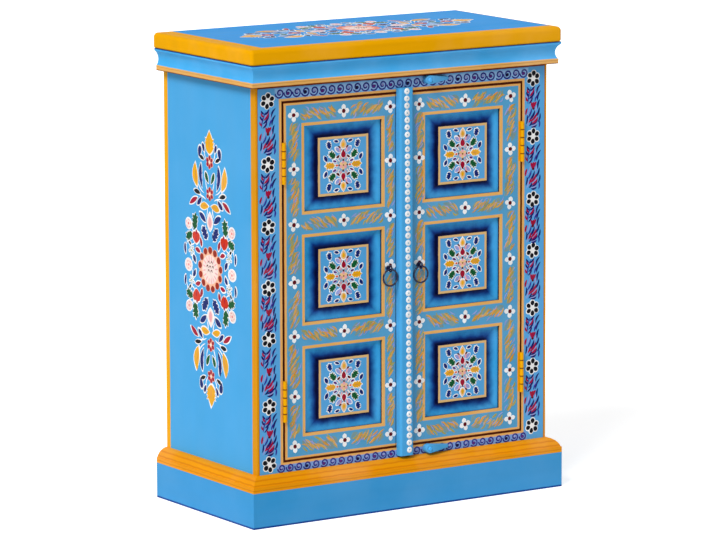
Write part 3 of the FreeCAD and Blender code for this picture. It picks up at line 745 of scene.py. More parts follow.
class BrushWork:
    """All the brush strokes of one painting, laid as one mesh."""

    unsteady = Unsteadiness()

    def __init__(self, name: str, body: str, slot: str) -> None:
        """Start an empty painting on a body.

        Args:
            name: Name of the piece.
            body: Body that it rides on.
            slot: Name of the material slot that it belongs to, kept but not used.
        """
        self.name = name
        self.body = body
        self.slot = slot
        self.hand = random.Random(f"{SEED} {name}")
        self.rows: list[tuple[Canvas, Stroke, Colour, float]] = []

    def stray(self, most: float) -> float:
        """A random step to either side."""
        return self.hand.uniform(-most, most)

    def lay(self, canvas: Canvas, stroke: Stroke, pigment: Pigment, layer: Layer) -> None:
        """Lay one stroke, a little unevenly.

        Args:
            canvas: Face that it is laid on.
            stroke: Its place and shape.
            pigment: Its colour.
            layer: How high it lies.
        """
        hand, unsteady = self.hand, self.unsteady
        stroke = replace(
            stroke, x=stroke.x + self.stray(unsteady.shift), y=stroke.y + self.stray(unsteady.shift),
            long=stroke.long * hand.uniform(*unsteady.long), wide=stroke.wide * hand.uniform(*unsteady.wide),
            turn=stroke.turn + self.stray(unsteady.turn))
        level = hand.uniform(*unsteady.shade)
        colour = (*(min(1.0, part * level) for part in pigment.value[:3]), 1.0)
        self.rows.append((canvas, stroke, colour, layer.value))

    def edged(self, canvas: Canvas, stroke: Stroke, pigment: Pigment, edge: float) -> None:
        """Lay a stroke over a white one that shows round it."""
        self.lay(canvas, stroke.grown(edge), Pigment.WHITE, Layer.OUTLINE)
        self.lay(canvas, stroke, pigment, Layer.FILL)

    def dot(
        self, canvas: Canvas, x: float, y: float, radius: float, pigment: Pigment, layer: Layer
    ) -> None:
        """Lay a round dot."""
        self.lay(canvas, Stroke(x, y, radius, radius), pigment, layer)

    def points(self) -> bpy.types.Mesh:
        """Make one point for each stroke.

        Returns:
            Mesh whose points carry the strokes' sizes in metres and their colours.
        """
        mesh = bpy.data.meshes.new(f"{self.name}_points")
        mesh.from_pydata([canvas.place(stroke.x, stroke.y) for canvas, stroke, _, _ in self.rows], [], [])
        floats: dict[str, list[float]] = {name: [] for name in STROKE_SIZES}
        vectors: dict[str, list[float]] = {name: [] for name in FACE_AXES}
        colours: list[float] = []
        for index, (canvas, stroke, colour, rise) in enumerate(self.rows):
            flat = float(rise < Layer.DOT.value)
            rise += LAYER_ROOM * (index * GOLDEN_SHARE % 1.0) * flat
            for name, direction in zip(FACE_AXES, (canvas.across, canvas.upwards)):
                vectors[name].extend(direction)
            colours.extend(colour)
            values = (math.radians(stroke.turn), stroke.long * MM, stroke.full_width() * MM,
                      stroke.bend * MM, stroke.root, stroke.tip, rise * MM, flat)
            for name, value in zip(STROKE_SIZES, values):
                floats[name].append(value)
        for name, values in floats.items():
            mesh.attributes.new(name, "FLOAT", "POINT").data.foreach_set("value", values)
        for name, values in vectors.items():
            mesh.attributes.new(name, "FLOAT_VECTOR", "POINT").data.foreach_set("vector", values)
        carried = mesh.attributes.new(BrushFinish.attribute, "FLOAT_COLOR", "POINT")
        carried.data.foreach_set("color", colours)
        return mesh

    def build(self, paint: bpy.types.Material) -> None:
        """Make the strokes' mesh and let it ride on its body.

        Args:
            paint: Material of all the strokes.
        """
        values = {"Outline Points": OUTLINE_POINTS, "Sunk": SUNK * MM, "Paint": paint}
        piece = made_by_tree(self.name, self.points(), BRUSH_TREE, values)
        for spare in (*STROKE_SIZES, *FACE_AXES, MIDDLE, CORNER):
            piece.data.attributes.remove(piece.data.attributes[spare])
        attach(piece, self.body)
        log.info("%s: %d strokes", self.name, len(self.rows))


# Ornament


class PetalKind(Enum):
    """Ways to draw a petal: with a white edge, with a sawn edge too, or as a bare touch on top."""

    EDGED = 1
    TOOTHED = 2
    TOUCH = 3


@dataclass(frozen=True)
class Petal:
    """Stroke of a motif with its colour."""

    stroke: Stroke
    pigment: Pigment
    kind: PetalKind = PetalKind.EDGED


@dataclass(frozen=True)
class Dot:
    """Round touch in the middle of a flower."""

    radius: float
    pigment: Pigment
    layer: Layer


@dataclass(frozen=True)
class PetalRing:
    """Petals of one shape round a flower's middle, in one colour or in several by turns."""

    count: int
    reach: float
    long: float
    wide: float
    pigments: tuple[Pigment, ...]
    layer: Layer
    first: float = 0.0
    turn: float = 0.0
    bend: float = 0.0
    root: float = 0.0
    tip: float = 0.0
    vein: "PetalRing | None" = None

    def stroke(self, index: int, x: float, y: float, spin: float) -> Stroke:
        """One petal, which points outwards unless the ring turns its petals.

        Args:
            index: Which petal.
            x: Middle of the flower.
            y: Middle of the flower.
            spin: How far the whole flower is turned, in degrees.

        Returns:
            The petal's stroke.
        """
        angle = spin + self.first + 360.0 * index / self.count
        lean = math.radians(angle)
        return Stroke(x + self.reach * math.cos(lean), y + self.reach * math.sin(lean), self.long, self.wide,
                      angle + self.turn, self.bend, self.root, self.tip)


@dataclass(frozen=True)
class Flower:
    """Dots and rings of petals, from the lowest up, and the range of turns that the flower takes."""

    parts: tuple[Dot | PetalRing, ...]
    spin: Pair | None = None


# Front frame: six black petals on a white ground
BLACK_FLOWER = Flower((
    Dot(9.0, Pigment.WHITE, Layer.OUTLINE),
    PetalRing(6, 8.1, 6.0, 5.6, (Pigment.WHITE,), Layer.OUTLINE),
    PetalRing(6, 8.4, 4.5, 4.0, (Pigment.INK,), Layer.FILL, root=0.1),
), spin=(20.0, 40.0))

# Doors: four white petals and a dark red eye
WHITE_FLOWER = Flower((
    PetalRing(4, 5.9, 5.0, 4.2, (Pigment.WHITE,), Layer.OUTLINE, root=0.3, tip=0.2),
    Dot(3.6, Pigment.MAROON, Layer.FILL),
), spin=(-16.0, 16.0))

# Medallion: six red petals round a pale eye
RED_FLOWER = Flower((
    Dot(8.0, Pigment.SALMON, Layer.OUTLINE),
    PetalRing(6, 6.8, 4.9, 4.4, (Pigment.SALMON,), Layer.OUTLINE, first=30.0),
    PetalRing(6, 7.0, 4.0, 3.4, (Pigment.CRIMSON,), Layer.FILL, first=30.0, root=0.1),
    Dot(2.2, Pigment.BLUSH, Layer.DETAIL),
))

# Medallion: pink swirl on one of its pale round buds
ROSE = Flower((
    PetalRing(5, 5.2, 3.0, 1.1, (Pigment.PINK,), Layer.DETAIL, turn=80.0, bend=-1.2, root=0.2, tip=0.3),
    Dot(2.6, Pigment.PINK, Layer.DETAIL),
    Dot(1.2, Pigment.CORAL, Layer.TOUCH),
), spin=(0.0, 60.0))

# Medallion: small flower of white petals with grey-green veins
PALE_FLOWER = Flower((
    PetalRing(5, 5.4, 4.4, 3.0, (Pigment.WHITE,), Layer.OUTLINE, root=0.3,
              vein=PetalRing(5, 5.4, 2.4, 0.9, (Pigment.SAGE,), Layer.FILL)),
    Dot(1.9, Pigment.OLIVE, Layer.FILL),
), spin=(0.0, 60.0))

# Raised field of a door panel: pale rays under the bouquet, and the flower in its middle
BOUQUET_RAYS = Flower((
    PetalRing(8, 10.0, 7.5, 3.2, (Pigment.MIST,), Layer.WASH, first=22.5, root=0.2, tip=0.3),
))
BOUQUET_HEART = Flower((
    Dot(7.0, Pigment.WHITE, Layer.OUTLINE),
    PetalRing(6, 4.4, 3.4, 2.7, (Pigment.PEACH, Pigment.PINK), Layer.FILL, first=30.0, root=0.1),
    Dot(2.6, Pigment.PEACH, Layer.DETAIL),
    Dot(1.3, Pigment.MAROON, Layer.TOUCH),
))


def rosette(petal_pigment: Pigment) -> Flower:
    """Round flower in the middle of a medallion.

    Args:
        petal_pigment: Colour of its outer petals.

    Returns:
        The flower, without the arched marks in its middle.
    """
    return Flower((
        Dot(31.0, Pigment.SALMON, Layer.WASH),
        PetalRing(13, 31.0, 7.0, 7.6, (Pigment.SALMON,), Layer.OUTLINE, first=90.0),
        PetalRing(13, 31.2, 5.8, 6.0, (petal_pigment,), Layer.FILL, first=90.0, root=0.1),
        Dot(25.0, Pigment.BLUSH, Layer.FILL),
        PetalRing(16, 18.5, 5.2, 1.1, (Pigment.PINK,), Layer.DETAIL, first=77.0, root=0.2, tip=0.2),
    ))


# Arched marks in the rosette: how many in each row from the top, their steps, the top row's height and shape
SCALE_ROWS = (2, 3, 2)
SCALE_STEP = 8.4
SCALE_DROP = 7.0
SCALE_HEAD = 9.0
SCALE = Stroke(0.0, 0.0, 3.3, 1.2, bend=4.4)


def leaf(x: float, y: float, long: float, wide: float, turn: float, bend: float, pigment: Pigment) -> Petal:
    """Leaf of a spray, with the tapers that they all share."""
    return Petal(Stroke(x, y, long, wide, turn, bend, root=0.2, tip=0.25), pigment)


def tendril(x: float, y: float, long: float, turn: float, bend: float) -> Stroke:
    """Thin curl, as wide and as tapered as the others."""
    return Stroke(x, y, long, 1.2, turn, bend, root=0.2, tip=0.2)


# One quarter of the bouquet on a raised field, as (x, y) from its middle; the rest is mirrored.
BOUQUET = (
    Petal(Stroke(25.2, 0.5, 9.8, 4.6, 0.0, 0.0, 0.2, 0.35), Pigment.SAFFRON),
    Petal(Stroke(25.2, 0.5, 9.8, 6.4, 0.0, 0.0, 0.2, 0.35), Pigment.SAFFRON, PetalKind.TOOTHED),
    Petal(Stroke(24.0, 0.5, 5.4, 1.5, 0.0, 0.0, 0.2, 0.3), Pigment.ORANGE, PetalKind.TOUCH),
    Petal(Stroke(0.0, 34.4, 7.6, 5.4, 90.0, 0.0, 0.1, 0.5), Pigment.PEACH),
    Petal(Stroke(0.0, 33.4, 4.4, 2.8, 90.0, 0.0, 0.1, 0.4), Pigment.SAFFRON, PetalKind.TOUCH),
    Petal(Stroke(7.4, 29.6, 3.0, 1.5, 35.0), Pigment.MAROON, PetalKind.TOUCH),
    Petal(Stroke(0.0, 18.4, 6.4, 4.6, 90.0, 0.0, 0.1, 0.4), Pigment.CRIMSON),
    Petal(Stroke(0.0, 23.6, 2.0, 1.4, 90.0), Pigment.MAROON, PetalKind.TOUCH),
    Petal(Stroke(21.0, 17.8, 7.8, 6.4, 45.0, 0.0, 0.2, 0.4), Pigment.GREEN, PetalKind.TOOTHED),
    Petal(Stroke(27.0, 33.8, 6.6, 5.0, 75.0, 0.0, 0.3, 0.2), Pigment.COBALT, PetalKind.TOOTHED),
    Petal(Stroke(33.6, 12.4, 5.4, 3.2, 62.0, 0.4, 0.3, 0.3), Pigment.COBALT),
    Petal(Stroke(13.2, 38.8, 4.6, 2.3, 16.0, 0.4, 0.3, 0.3), Pigment.COBALT),
    Petal(Stroke(10.8, 24.6, 6.0, 3.2, 46.0, 0.8, 0.4, 0.2), Pigment.LAVENDER),
    Petal(Stroke(6.4, 25.0, 4.0, 1.7, 70.0, 0.6, 0.3, 0.2), Pigment.PINK, PetalKind.TOUCH),
    Petal(Stroke(10.0, 14.6, 4.2, 2.1, -38.0, -0.8, 0.4, 0.2), Pigment.MAROON),
    Petal(Stroke(16.2, 7.4, 4.0, 2.0, 20.0, 0.0, 0.3, 0.3), Pigment.PURPLE),
    Petal(Stroke(12.4, 0.4, 2.6, 1.9, 0.0, 0.0, 0.3, 0.3), Pigment.CORAL),
    Petal(Stroke(0.0, 8.4, 1.9, 1.5, 90.0), Pigment.MAROON, PetalKind.TOUCH),
    Petal(Stroke(7.6, 0.4, 1.7, 1.4, 0.0), Pigment.MAROON, PetalKind.TOUCH),
    Petal(Stroke(9.0, 8.4, 3.2, 1.3, 45.0), Pigment.BLUSH, PetalKind.TOUCH),
    Petal(Stroke(4.8, 11.6, 3.0, 1.2, 70.0), Pigment.PINK, PetalKind.TOUCH),
)

# Leaves of the front frame between two of its flowers, about the middle between them
LEAF_SPRAY = (
    leaf(-1.5, 33.0, 6.5, 1.7, 42.0, -1.6, Pigment.INDIGO),
    leaf(-1.5, 29.4, 7.5, 1.5, 46.0, -1.8, Pigment.LAVENDER),
    leaf(-2.6, 26.4, 8.0, 1.8, 50.0, -2.0, Pigment.WINE),
    leaf(-3.0, 21.6, 9.0, 1.8, 52.0, -2.2, Pigment.INDIGO),
    leaf(-3.6, 17.6, 8.5, 1.5, 54.0, -2.2, Pigment.LAVENDER),
    leaf(-5.4, 13.6, 7.5, 1.6, 58.0, -2.0, Pigment.INDIGO),
    leaf(-9.6, 33.0, 4.4, 1.7, 130.0, 1.0, Pigment.INDIGO),
    leaf(-9.8, 28.6, 4.8, 1.7, 126.0, 1.0, Pigment.WINE),
    leaf(-11.0, 23.6, 5.0, 1.7, 122.0, 1.0, Pigment.INDIGO),
    leaf(-11.6, 19.4, 4.8, 1.4, 120.0, 1.0, Pigment.LAVENDER),
    leaf(-12.6, 14.6, 4.6, 1.7, 118.0, 0.8, Pigment.WINE),
    leaf(-7.6, 21.0, 14.0, 1.1, 76.0, 1.5, Pigment.VIOLET),
    leaf(10.4, 30.4, 8.5, 1.6, 62.0, 2.0, Pigment.COBALT),
    leaf(8.4, 25.6, 9.5, 1.5, 60.0, 2.4, Pigment.LAVENDER),
    leaf(11.6, 19.2, 9.5, 1.7, 66.0, 2.2, Pigment.INDIGO),
    leaf(7.2, 15.2, 7.0, 1.5, 58.0, 2.0, Pigment.VIOLET),
    leaf(-2.4, 3.6, 5.6, 2.6, 108.0, -0.8, Pigment.WINE),
    leaf(0.8, 3.0, 6.0, 2.8, 84.0, 0.0, Pigment.CRIMSON),
    leaf(4.0, 4.0, 5.6, 2.5, 60.0, 0.8, Pigment.WINE),
    leaf(0.4, -1.8, 2.8, 2.6, 80.0, 0.0, Pigment.MAROON),
    leaf(1.4, 6.4, 2.8, 1.0, 84.0, 0.0, Pigment.PINK),
    leaf(11.2, 4.6, 8.0, 1.7, 78.0, 1.6, Pigment.INDIGO),
    leaf(8.2, -1.6, 8.4, 1.5, 70.0, 1.6, Pigment.LAVENDER),
    leaf(9.0, -8.6, 9.0, 1.8, 62.0, -1.8, Pigment.INDIGO),
    leaf(-13.0, -6.4, 6.4, 2.0, 74.0, 0.8, Pigment.WINE),
    leaf(-9.0, -4.6, 9.4, 1.5, 66.0, -2.0, Pigment.LAVENDER),
    leaf(-7.0, -10.0, 8.6, 1.5, 62.0, -1.8, Pigment.VIOLET),
    leaf(-13.0, -20.4, 7.6, 1.5, 84.0, -1.4, Pigment.COBALT),
    leaf(-10.4, -24.6, 8.0, 1.5, 78.0, -1.6, Pigment.LAVENDER),
    leaf(-1.8, -13.4, 10.0, 2.0, 54.0, -2.0, Pigment.INDIGO),
    leaf(1.2, -16.6, 9.6, 2.2, 50.0, -2.0, Pigment.WINE),
    leaf(2.8, -19.6, 8.6, 1.5, 44.0, -2.0, Pigment.LAVENDER),
    leaf(3.4, -22.4, 8.2, 2.0, 38.0, -2.0, Pigment.WINE),
    leaf(3.2, -25.8, 7.8, 1.8, 30.0, -2.0, Pigment.INDIGO),
    leaf(2.6, -28.8, 7.0, 1.5, 22.0, -2.0, Pigment.LAVENDER),
    leaf(2.0, -32.0, 6.2, 1.7, 12.0, -1.8, Pigment.INDIGO),
    leaf(-6.2, -21.0, 6.0, 1.9, 64.0, -1.0, Pigment.WINE),
    leaf(-4.6, -27.6, 5.4, 1.7, 52.0, -1.2, Pigment.INDIGO),
    leaf(12.2, -18.4, 7.8, 1.6, 76.0, -1.6, Pigment.COBALT),
    leaf(12.0, -29.0, 6.4, 1.5, 88.0, -1.2, Pigment.VIOLET),
)

# Distance between two flowers of the front frame for which the leaves above are drawn
SPRAY_ROOM = 100.0

# One quarter of the long medallion on the sides and on the top, outside its rosette.
MEDALLION = (
    Petal(Stroke(39.2, 46.6, 10.4, 7.2, 106.0, 0.0, 0.4, 0.0), Pigment.SCARLET),
    Petal(Stroke(46.8, 46.6, 10.4, 7.2, 74.0, 0.0, 0.4, 0.0), Pigment.SCARLET),
    Petal(Stroke(42.0, 56.6, 4.0, 3.0, 90.0, 0.0, 0.0, 0.3), Pigment.CRIMSON),
    Petal(Stroke(43.0, 45.0, 5.0, 1.2, 90.0, 0.0, 0.3, 0.3), Pigment.CRIMSON, PetalKind.TOUCH),
    Petal(Stroke(28.0, 41.5, 8.2, 4.0, 72.0, 0.6, 0.3, 0.4), Pigment.CRIMSON),
    Petal(Stroke(38.0, 26.6, 8.6, 4.0, 14.0, 0.8, 0.4, 0.4), Pigment.CRIMSON),
    Petal(Stroke(64.5, 47.5, 11.2, 8.6, -24.0, 0.0, 0.2, 0.4), Pigment.GREEN, PetalKind.TOOTHED),
    Petal(Stroke(46.6, 73.0, 14.8, 9.8, 98.0, 0.8, 0.2, 0.4), Pigment.GREEN, PetalKind.TOOTHED),
    Petal(Stroke(66.0, 67.0, 9.8, 9.0, 30.0), Pigment.BLUSH),
    Petal(Stroke(66.8, 0.0, 10.8, 9.8, 0.0), Pigment.BLUSH),
    Petal(Stroke(76.5, 25.5, 8.6, 3.0, 86.0, -0.8, 0.1, 0.1), Pigment.COBALT),
    Petal(Stroke(62.5, 35.6, 4.2, 2.4, 40.0, 0.0, 0.3, 0.3), Pigment.INK),
    Petal(Stroke(49.0, 11.5, 7.8, 4.0, 62.0, 0.8, 0.4, 0.3), Pigment.COBALT),
    Petal(Stroke(16.0, 58.0, 13.4, 9.2, 54.0, 0.0, 0.4, 0.1), Pigment.COBALT, PetalKind.TOOTHED),
    Petal(Stroke(22.5, 82.5, 12.2, 5.2, 34.0, 0.8, 0.4, 0.3), Pigment.COBALT),
    Petal(Stroke(0.0, 78.0, 15.0, 9.4, 90.0, 0.0, 0.4, 0.55), Pigment.BLUSH),
    Petal(Stroke(0.0, 77.0, 10.4, 5.8, 90.0, 0.0, 0.3, 0.5), Pigment.PINK, PetalKind.TOUCH),
    Petal(Stroke(16.5, 100.5, 13.2, 6.0, -8.0, 1.2, 0.5, 0.3), Pigment.SAFFRON),
    Petal(Stroke(15.0, 101.2, 7.0, 1.6, -6.0, 1.0, 0.3, 0.3), Pigment.ORANGE, PetalKind.TOUCH),
    Petal(Stroke(50.0, 106.5, 13.8, 4.6, -30.0, 0.8, 0.4, 0.4), Pigment.CRIMSON),
    Petal(Stroke(32.0, 108.0, 10.2, 4.2, -42.0, -0.6, 0.4, 0.2), Pigment.COBALT),
    Petal(Stroke(38.5, 122.0, 10.4, 3.8, 10.0, 0.6, 0.4, 0.2), Pigment.INK),
    Petal(Stroke(41.0, 150.0, 20.5, 8.4, 80.0, -4.0, 0.4, 0.5), Pigment.SAFFRON),
    Petal(Stroke(40.6, 148.0, 12.0, 2.0, 80.0, -2.6, 0.3, 0.3), Pigment.ORANGE, PetalKind.TOUCH),
    Petal(Stroke(24.0, 150.0, 19.8, 5.2, 84.0, -4.0, 0.4, 0.2), Pigment.COBALT),
    Petal(Stroke(21.6, 148.0, 9.0, 1.0, 84.0, -2.4, 0.3, 0.3), Pigment.LAVENDER, PetalKind.TOUCH),
    Petal(Stroke(8.5, 148.5, 10.2, 4.4, 64.0, -1.0, 0.5, 0.2), Pigment.GREEN),
    Petal(Stroke(24.0, 179.0, 8.0, 3.4, 20.0, 0.4, 0.4, 0.2), Pigment.INK),
    Petal(Stroke(30.5, 188.5, 9.8, 5.4, 102.0, 0.0, 0.4, 0.0), Pigment.COBALT),
    Petal(Stroke(18.5, 196.5, 7.4, 3.6, 70.0, 0.0, 0.3, 0.1), Pigment.COBALT),
    Petal(Stroke(0.0, 206.0, 19.0, 11.8, 90.0, 0.0, 0.15, 0.6), Pigment.SAFFRON),
    Petal(Stroke(0.0, 201.5, 14.0, 16.0, 90.0, 0.0, 0.15, 0.4), Pigment.SAFFRON, PetalKind.TOOTHED),
    Petal(Stroke(0.0, 203.0, 9.0, 2.4, 90.0, 0.0, 0.3, 0.4), Pigment.ORANGE, PetalKind.TOUCH),
)

# White tendrils of one quarter of the medallion
TENDRILS = (
    tendril(9.0, 135.0, 11.0, 68.0, -2.0),
    tendril(27.0, 131.0, 13.0, 36.0, -3.0),
    tendril(24.0, 115.0, 12.0, 14.0, 2.0),
    tendril(56.0, 58.0, 9.0, 52.0, 2.0),
    tendril(55.0, 36.5, 9.0, -18.0, -2.0),
    tendril(57.0, 14.0, 9.0, 82.0, 2.0),
    tendril(72.5, 38.0, 8.0, 104.0, 2.0),
    tendril(10.0, 93.0, 9.0, 100.0, 2.0),
    tendril(13.0, 184.0, 9.0, 64.0, -2.0),
)

# Width of the white edge round the strokes of a bouquet, of a medallion and of a toothed leaf
BOUQUET_EDGE = 1.1
MEDALLION_EDGE = 1.5
TOOTH_EDGE = 1.2

# A motif's stroke that lies no higher than this over its middle isn't mirrored top to bottom
MIDDLE_ROOM = 2.0

# Flowers of the medallion: heights of the red ones on its long axis, and (x, y) of the others in a quarter
RED_FLOWER_HEIGHTS = (122.5, 174.0)
ROSE_PLACE = (66.4, 67.0)
PALE_FLOWER_PLACE = (57.5, 24.5)

# Colours of a leaf spray that lie under the others
UNDER_LEAVES = (Pigment.LAVENDER, Pigment.PINK)


@dataclass(frozen=True)
class ToothedLeaf:
    """Shape of a leaf's teeth, as shares of the leaf's half length and half width."""

    along: tuple[float, ...] = (-0.5, 0.0, 0.45)
    aside: float = 0.5
    narrowing: float = 0.3
    long: float = 0.5
    wide: float = 0.2
    lean: float = 52.0
    root: float = 0.1
    tip: float = 0.45
    body_wide: float = 0.6

    def strokes(self, leaf: Stroke) -> list[Stroke]:
        """Body and teeth of a leaf.

        Args:
            leaf: Place and outline of the whole leaf.

        Returns:
            The strokes, with the body first.
        """
        lean = math.radians(leaf.turn)
        strokes = [replace(leaf, wide=leaf.wide * self.body_wide)]
        for part in self.along:
            for side in (-1.0, 1.0):
                aside = side * leaf.wide * self.aside * (1.0 - self.narrowing * abs(part))
                along = part * leaf.long
                strokes.append(Stroke(
                    leaf.x + along * math.cos(lean) - aside * math.sin(lean),
                    leaf.y + along * math.sin(lean) + aside * math.cos(lean),
                    leaf.wide * self.long, leaf.long * self.wide, leaf.turn + side * self.lean,
                    root=self.root, tip=self.tip))
        return strokes


@dataclass(frozen=True)
class LeafTouch:
    """One kind of stroke in a row of leaves, with the ranges that its sizes are drawn from."""

    pigment: Pigment
    layer: Layer
    reach: float
    long: Pair
    wide: Pair


@dataclass(frozen=True)
class LeafRow:
    """Leafy strokes that follow each other along a door's stile or rail."""

    step: float = 5.9
    lean_range: float = 14.0
    bend_range: float = 3.4
    root: float = 0.35
    tip: float = 0.25
    orange_share: float = 0.3
    touches: tuple[LeafTouch, ...] = (
        LeafTouch(Pigment.SAGE, Layer.WASH, 0.8, (7.0, 9.0), (2.8, 4.0)),
        LeafTouch(Pigment.LAVENDER, Layer.OUTLINE, 1.0, (5.5, 7.5), (0.9, 1.3)),
        LeafTouch(Pigment.OLIVE, Layer.OUTLINE, 0.9, (6.0, 8.0), (1.4, 2.0)),
        LeafTouch(Pigment.OCHRE, Layer.FILL, 0.6, (6.5, 9.5), (1.2, 1.9)),
    )


class Ornament:
    """Painter's motifs, drawn on one body's painting."""

    leaf_teeth = ToothedLeaf()
    leaf_row = LeafRow()

    def __init__(self, work: BrushWork) -> None:
        """Keep the painting that the motifs go on."""
        self.work = work

    def flower(self, canvas: Canvas, x: float, y: float, flower: Flower) -> None:
        """Draw a flower.

        Args:
            canvas: Face that it is drawn on.
            x: Its middle.
            y: Its middle.
            flower: What it is made of.
        """
        spin = self.work.hand.uniform(*flower.spin) if flower.spin else 0.0
        for part in flower.parts:
            if isinstance(part, Dot):
                self.work.dot(canvas, x, y, part.radius, part.pigment, part.layer)
                continue
            coats = (part, part.vein) if part.vein else (part,)
            for index in range(part.count):
                for coat in coats:
                    pigment = coat.pigments[index % len(coat.pigments)]
                    self.work.lay(canvas, coat.stroke(index, x, y, spin), pigment, coat.layer)

    def petals(self, canvas: Canvas, x: float, y: float, motif: Sequence[Petal], edge: float) -> None:
        """Draw a motif four times, mirrored about its middle.

        Args:
            canvas: Face that it is drawn on.
            x: Middle of the motif.
            y: Middle of the motif.
            motif: Strokes of one quarter.
            edge: Width of the white edge round each stroke.
        """
        for petal in motif:
            sides = (1, -1) if petal.stroke.x else (1,)
            ends = (1, -1) if petal.stroke.y > MIDDLE_ROOM else (1,)
            for across, upwards in product(sides, ends):
                stroke = petal.stroke.mirrored(across, upwards).moved(x, y)
                if petal.kind is PetalKind.TOOTHED:
                    for part in self.leaf_teeth.strokes(stroke):
                        self.work.edged(canvas, part, petal.pigment, TOOTH_EDGE)
                elif petal.kind is PetalKind.TOUCH:
                    self.work.lay(canvas, stroke, petal.pigment, Layer.DETAIL)
                else:
                    self.work.edged(canvas, stroke, petal.pigment, edge)

    def bouquet(self, canvas: Canvas, x: float, y: float) -> None:
        """Draw the flowers on a raised field of a door panel.

        Args:
            canvas: Face that they are drawn on.
            x: Middle of the field.
            y: Middle of the field.
        """
        self.flower(canvas, x, y, BOUQUET_RAYS)
        self.petals(canvas, x, y, BOUQUET, BOUQUET_EDGE)
        self.flower(canvas, x, y, BOUQUET_HEART)

    def medallion(self, canvas: Canvas, x: float, y: float, petal_pigment: Pigment) -> None:
        """Draw the long motif of rosette, leaves and buds.

        Args:
            canvas: Face that it is drawn on, with the motif's length along its upward direction.
            x: Middle of the motif.
            y: Middle of the motif.
            petal_pigment: Colour of the rosette's petals.
        """
        self.petals(canvas, x, y, MEDALLION, MEDALLION_EDGE)
        for curl, across, upwards in product(TENDRILS, (1, -1), (1, -1)):
            self.work.lay(canvas, curl.mirrored(across, upwards).moved(x, y), Pigment.WHITE, Layer.WASH)
        for height, upwards in product(RED_FLOWER_HEIGHTS, (1, -1)):
            self.flower(canvas, x, y + height * upwards, RED_FLOWER)
        for side, end in product((-1.0, 1.0), (-1.0, 0.0, 1.0)):
            self.flower(canvas, x + side * ROSE_PLACE[0], y + end * ROSE_PLACE[1], ROSE)
            if end:
                pale_x, pale_y = PALE_FLOWER_PLACE
                self.flower(canvas, x + side * pale_x, y + end * pale_y, PALE_FLOWER)
        self.flower(canvas, x, y, rosette(petal_pigment))
        for row, count in enumerate(SCALE_ROWS):
            for column in range(count):
                aside = (column - (count - 1) / 2.0) * SCALE_STEP
                scale = SCALE.moved(x + aside, y + SCALE_HEAD - row * SCALE_DROP)
                self.work.lay(canvas, scale, Pigment.MAROON, Layer.TOUCH)

    def leaf_spray(self, canvas: Canvas, x: float, low: float, high: float) -> None:
        """Draw the curved leaves of the front frame, between two of its flowers.

        Args:
            canvas: Face that they are drawn on.
            x: Middle line of the stile.
            low: Middle of the flower below.
            high: Middle of the flower above.
        """
        middle, part = (low + high) / 2.0, (high - low) / SPRAY_ROOM
        for blade in LEAF_SPRAY:
            stroke = replace(blade.stroke, y=blade.stroke.y * part).moved(x, middle)
            layer = Layer.OUTLINE if blade.pigment in UNDER_LEAVES else Layer.FILL
            self.work.lay(canvas, stroke, blade.pigment, layer)

    def scribble(self, canvas: Canvas, start: Pair, end: Pair, lean: float, spread: float) -> None:
        """Draw leafy strokes in ochre, olive and lavender along a door's stile or rail.

        Args:
            canvas: Face that they are drawn on.
            start: Where the row begins.
            end: Where it ends.
            lean: Angle of the leaves from the row, in degrees.
            spread: How far to each side the leaves go.
        """
        work, row = self.work, self.leaf_row
        along = Vector((end[0] - start[0], end[1] - start[1]))
        count = max(2, round(along.length / row.step))
        heading = math.degrees(math.atan2(along.y, along.x)) + lean
        aside = Vector((-along.y, along.x)).normalized()
        for index in range(count):
            middle = Vector(start) + along * ((index + 0.5) / count)
            for touch in row.touches:
                place = middle + aside * spread * touch.reach * work.stray(1.0)
                pigment = touch.pigment
                if pigment is Pigment.OCHRE and work.hand.random() < row.orange_share:
                    pigment = Pigment.ORANGE
                stroke = Stroke(
                    place.x, place.y, work.hand.uniform(*touch.long), work.hand.uniform(*touch.wide),
                    heading + work.stray(row.lean_range), work.stray(row.bend_range), row.root, row.tip)
                work.lay(canvas, stroke, pigment, touch.layer)


# Points and turns of a scroll, its heart as a share of its radius, and how its line swells and lies
SCROLL_POINTS = 18
SCROLL_TURNS = 1.45
SCROLL_HEART = 0.2
LINE_ENDS = 0.6
LINE_SWELL = 0.5
LINE_CORNERS = 6
LINE_FLATNESS = 0.3

# Most that a scroll leans to either side, in radians
SCROLL_LEAN = 0.5


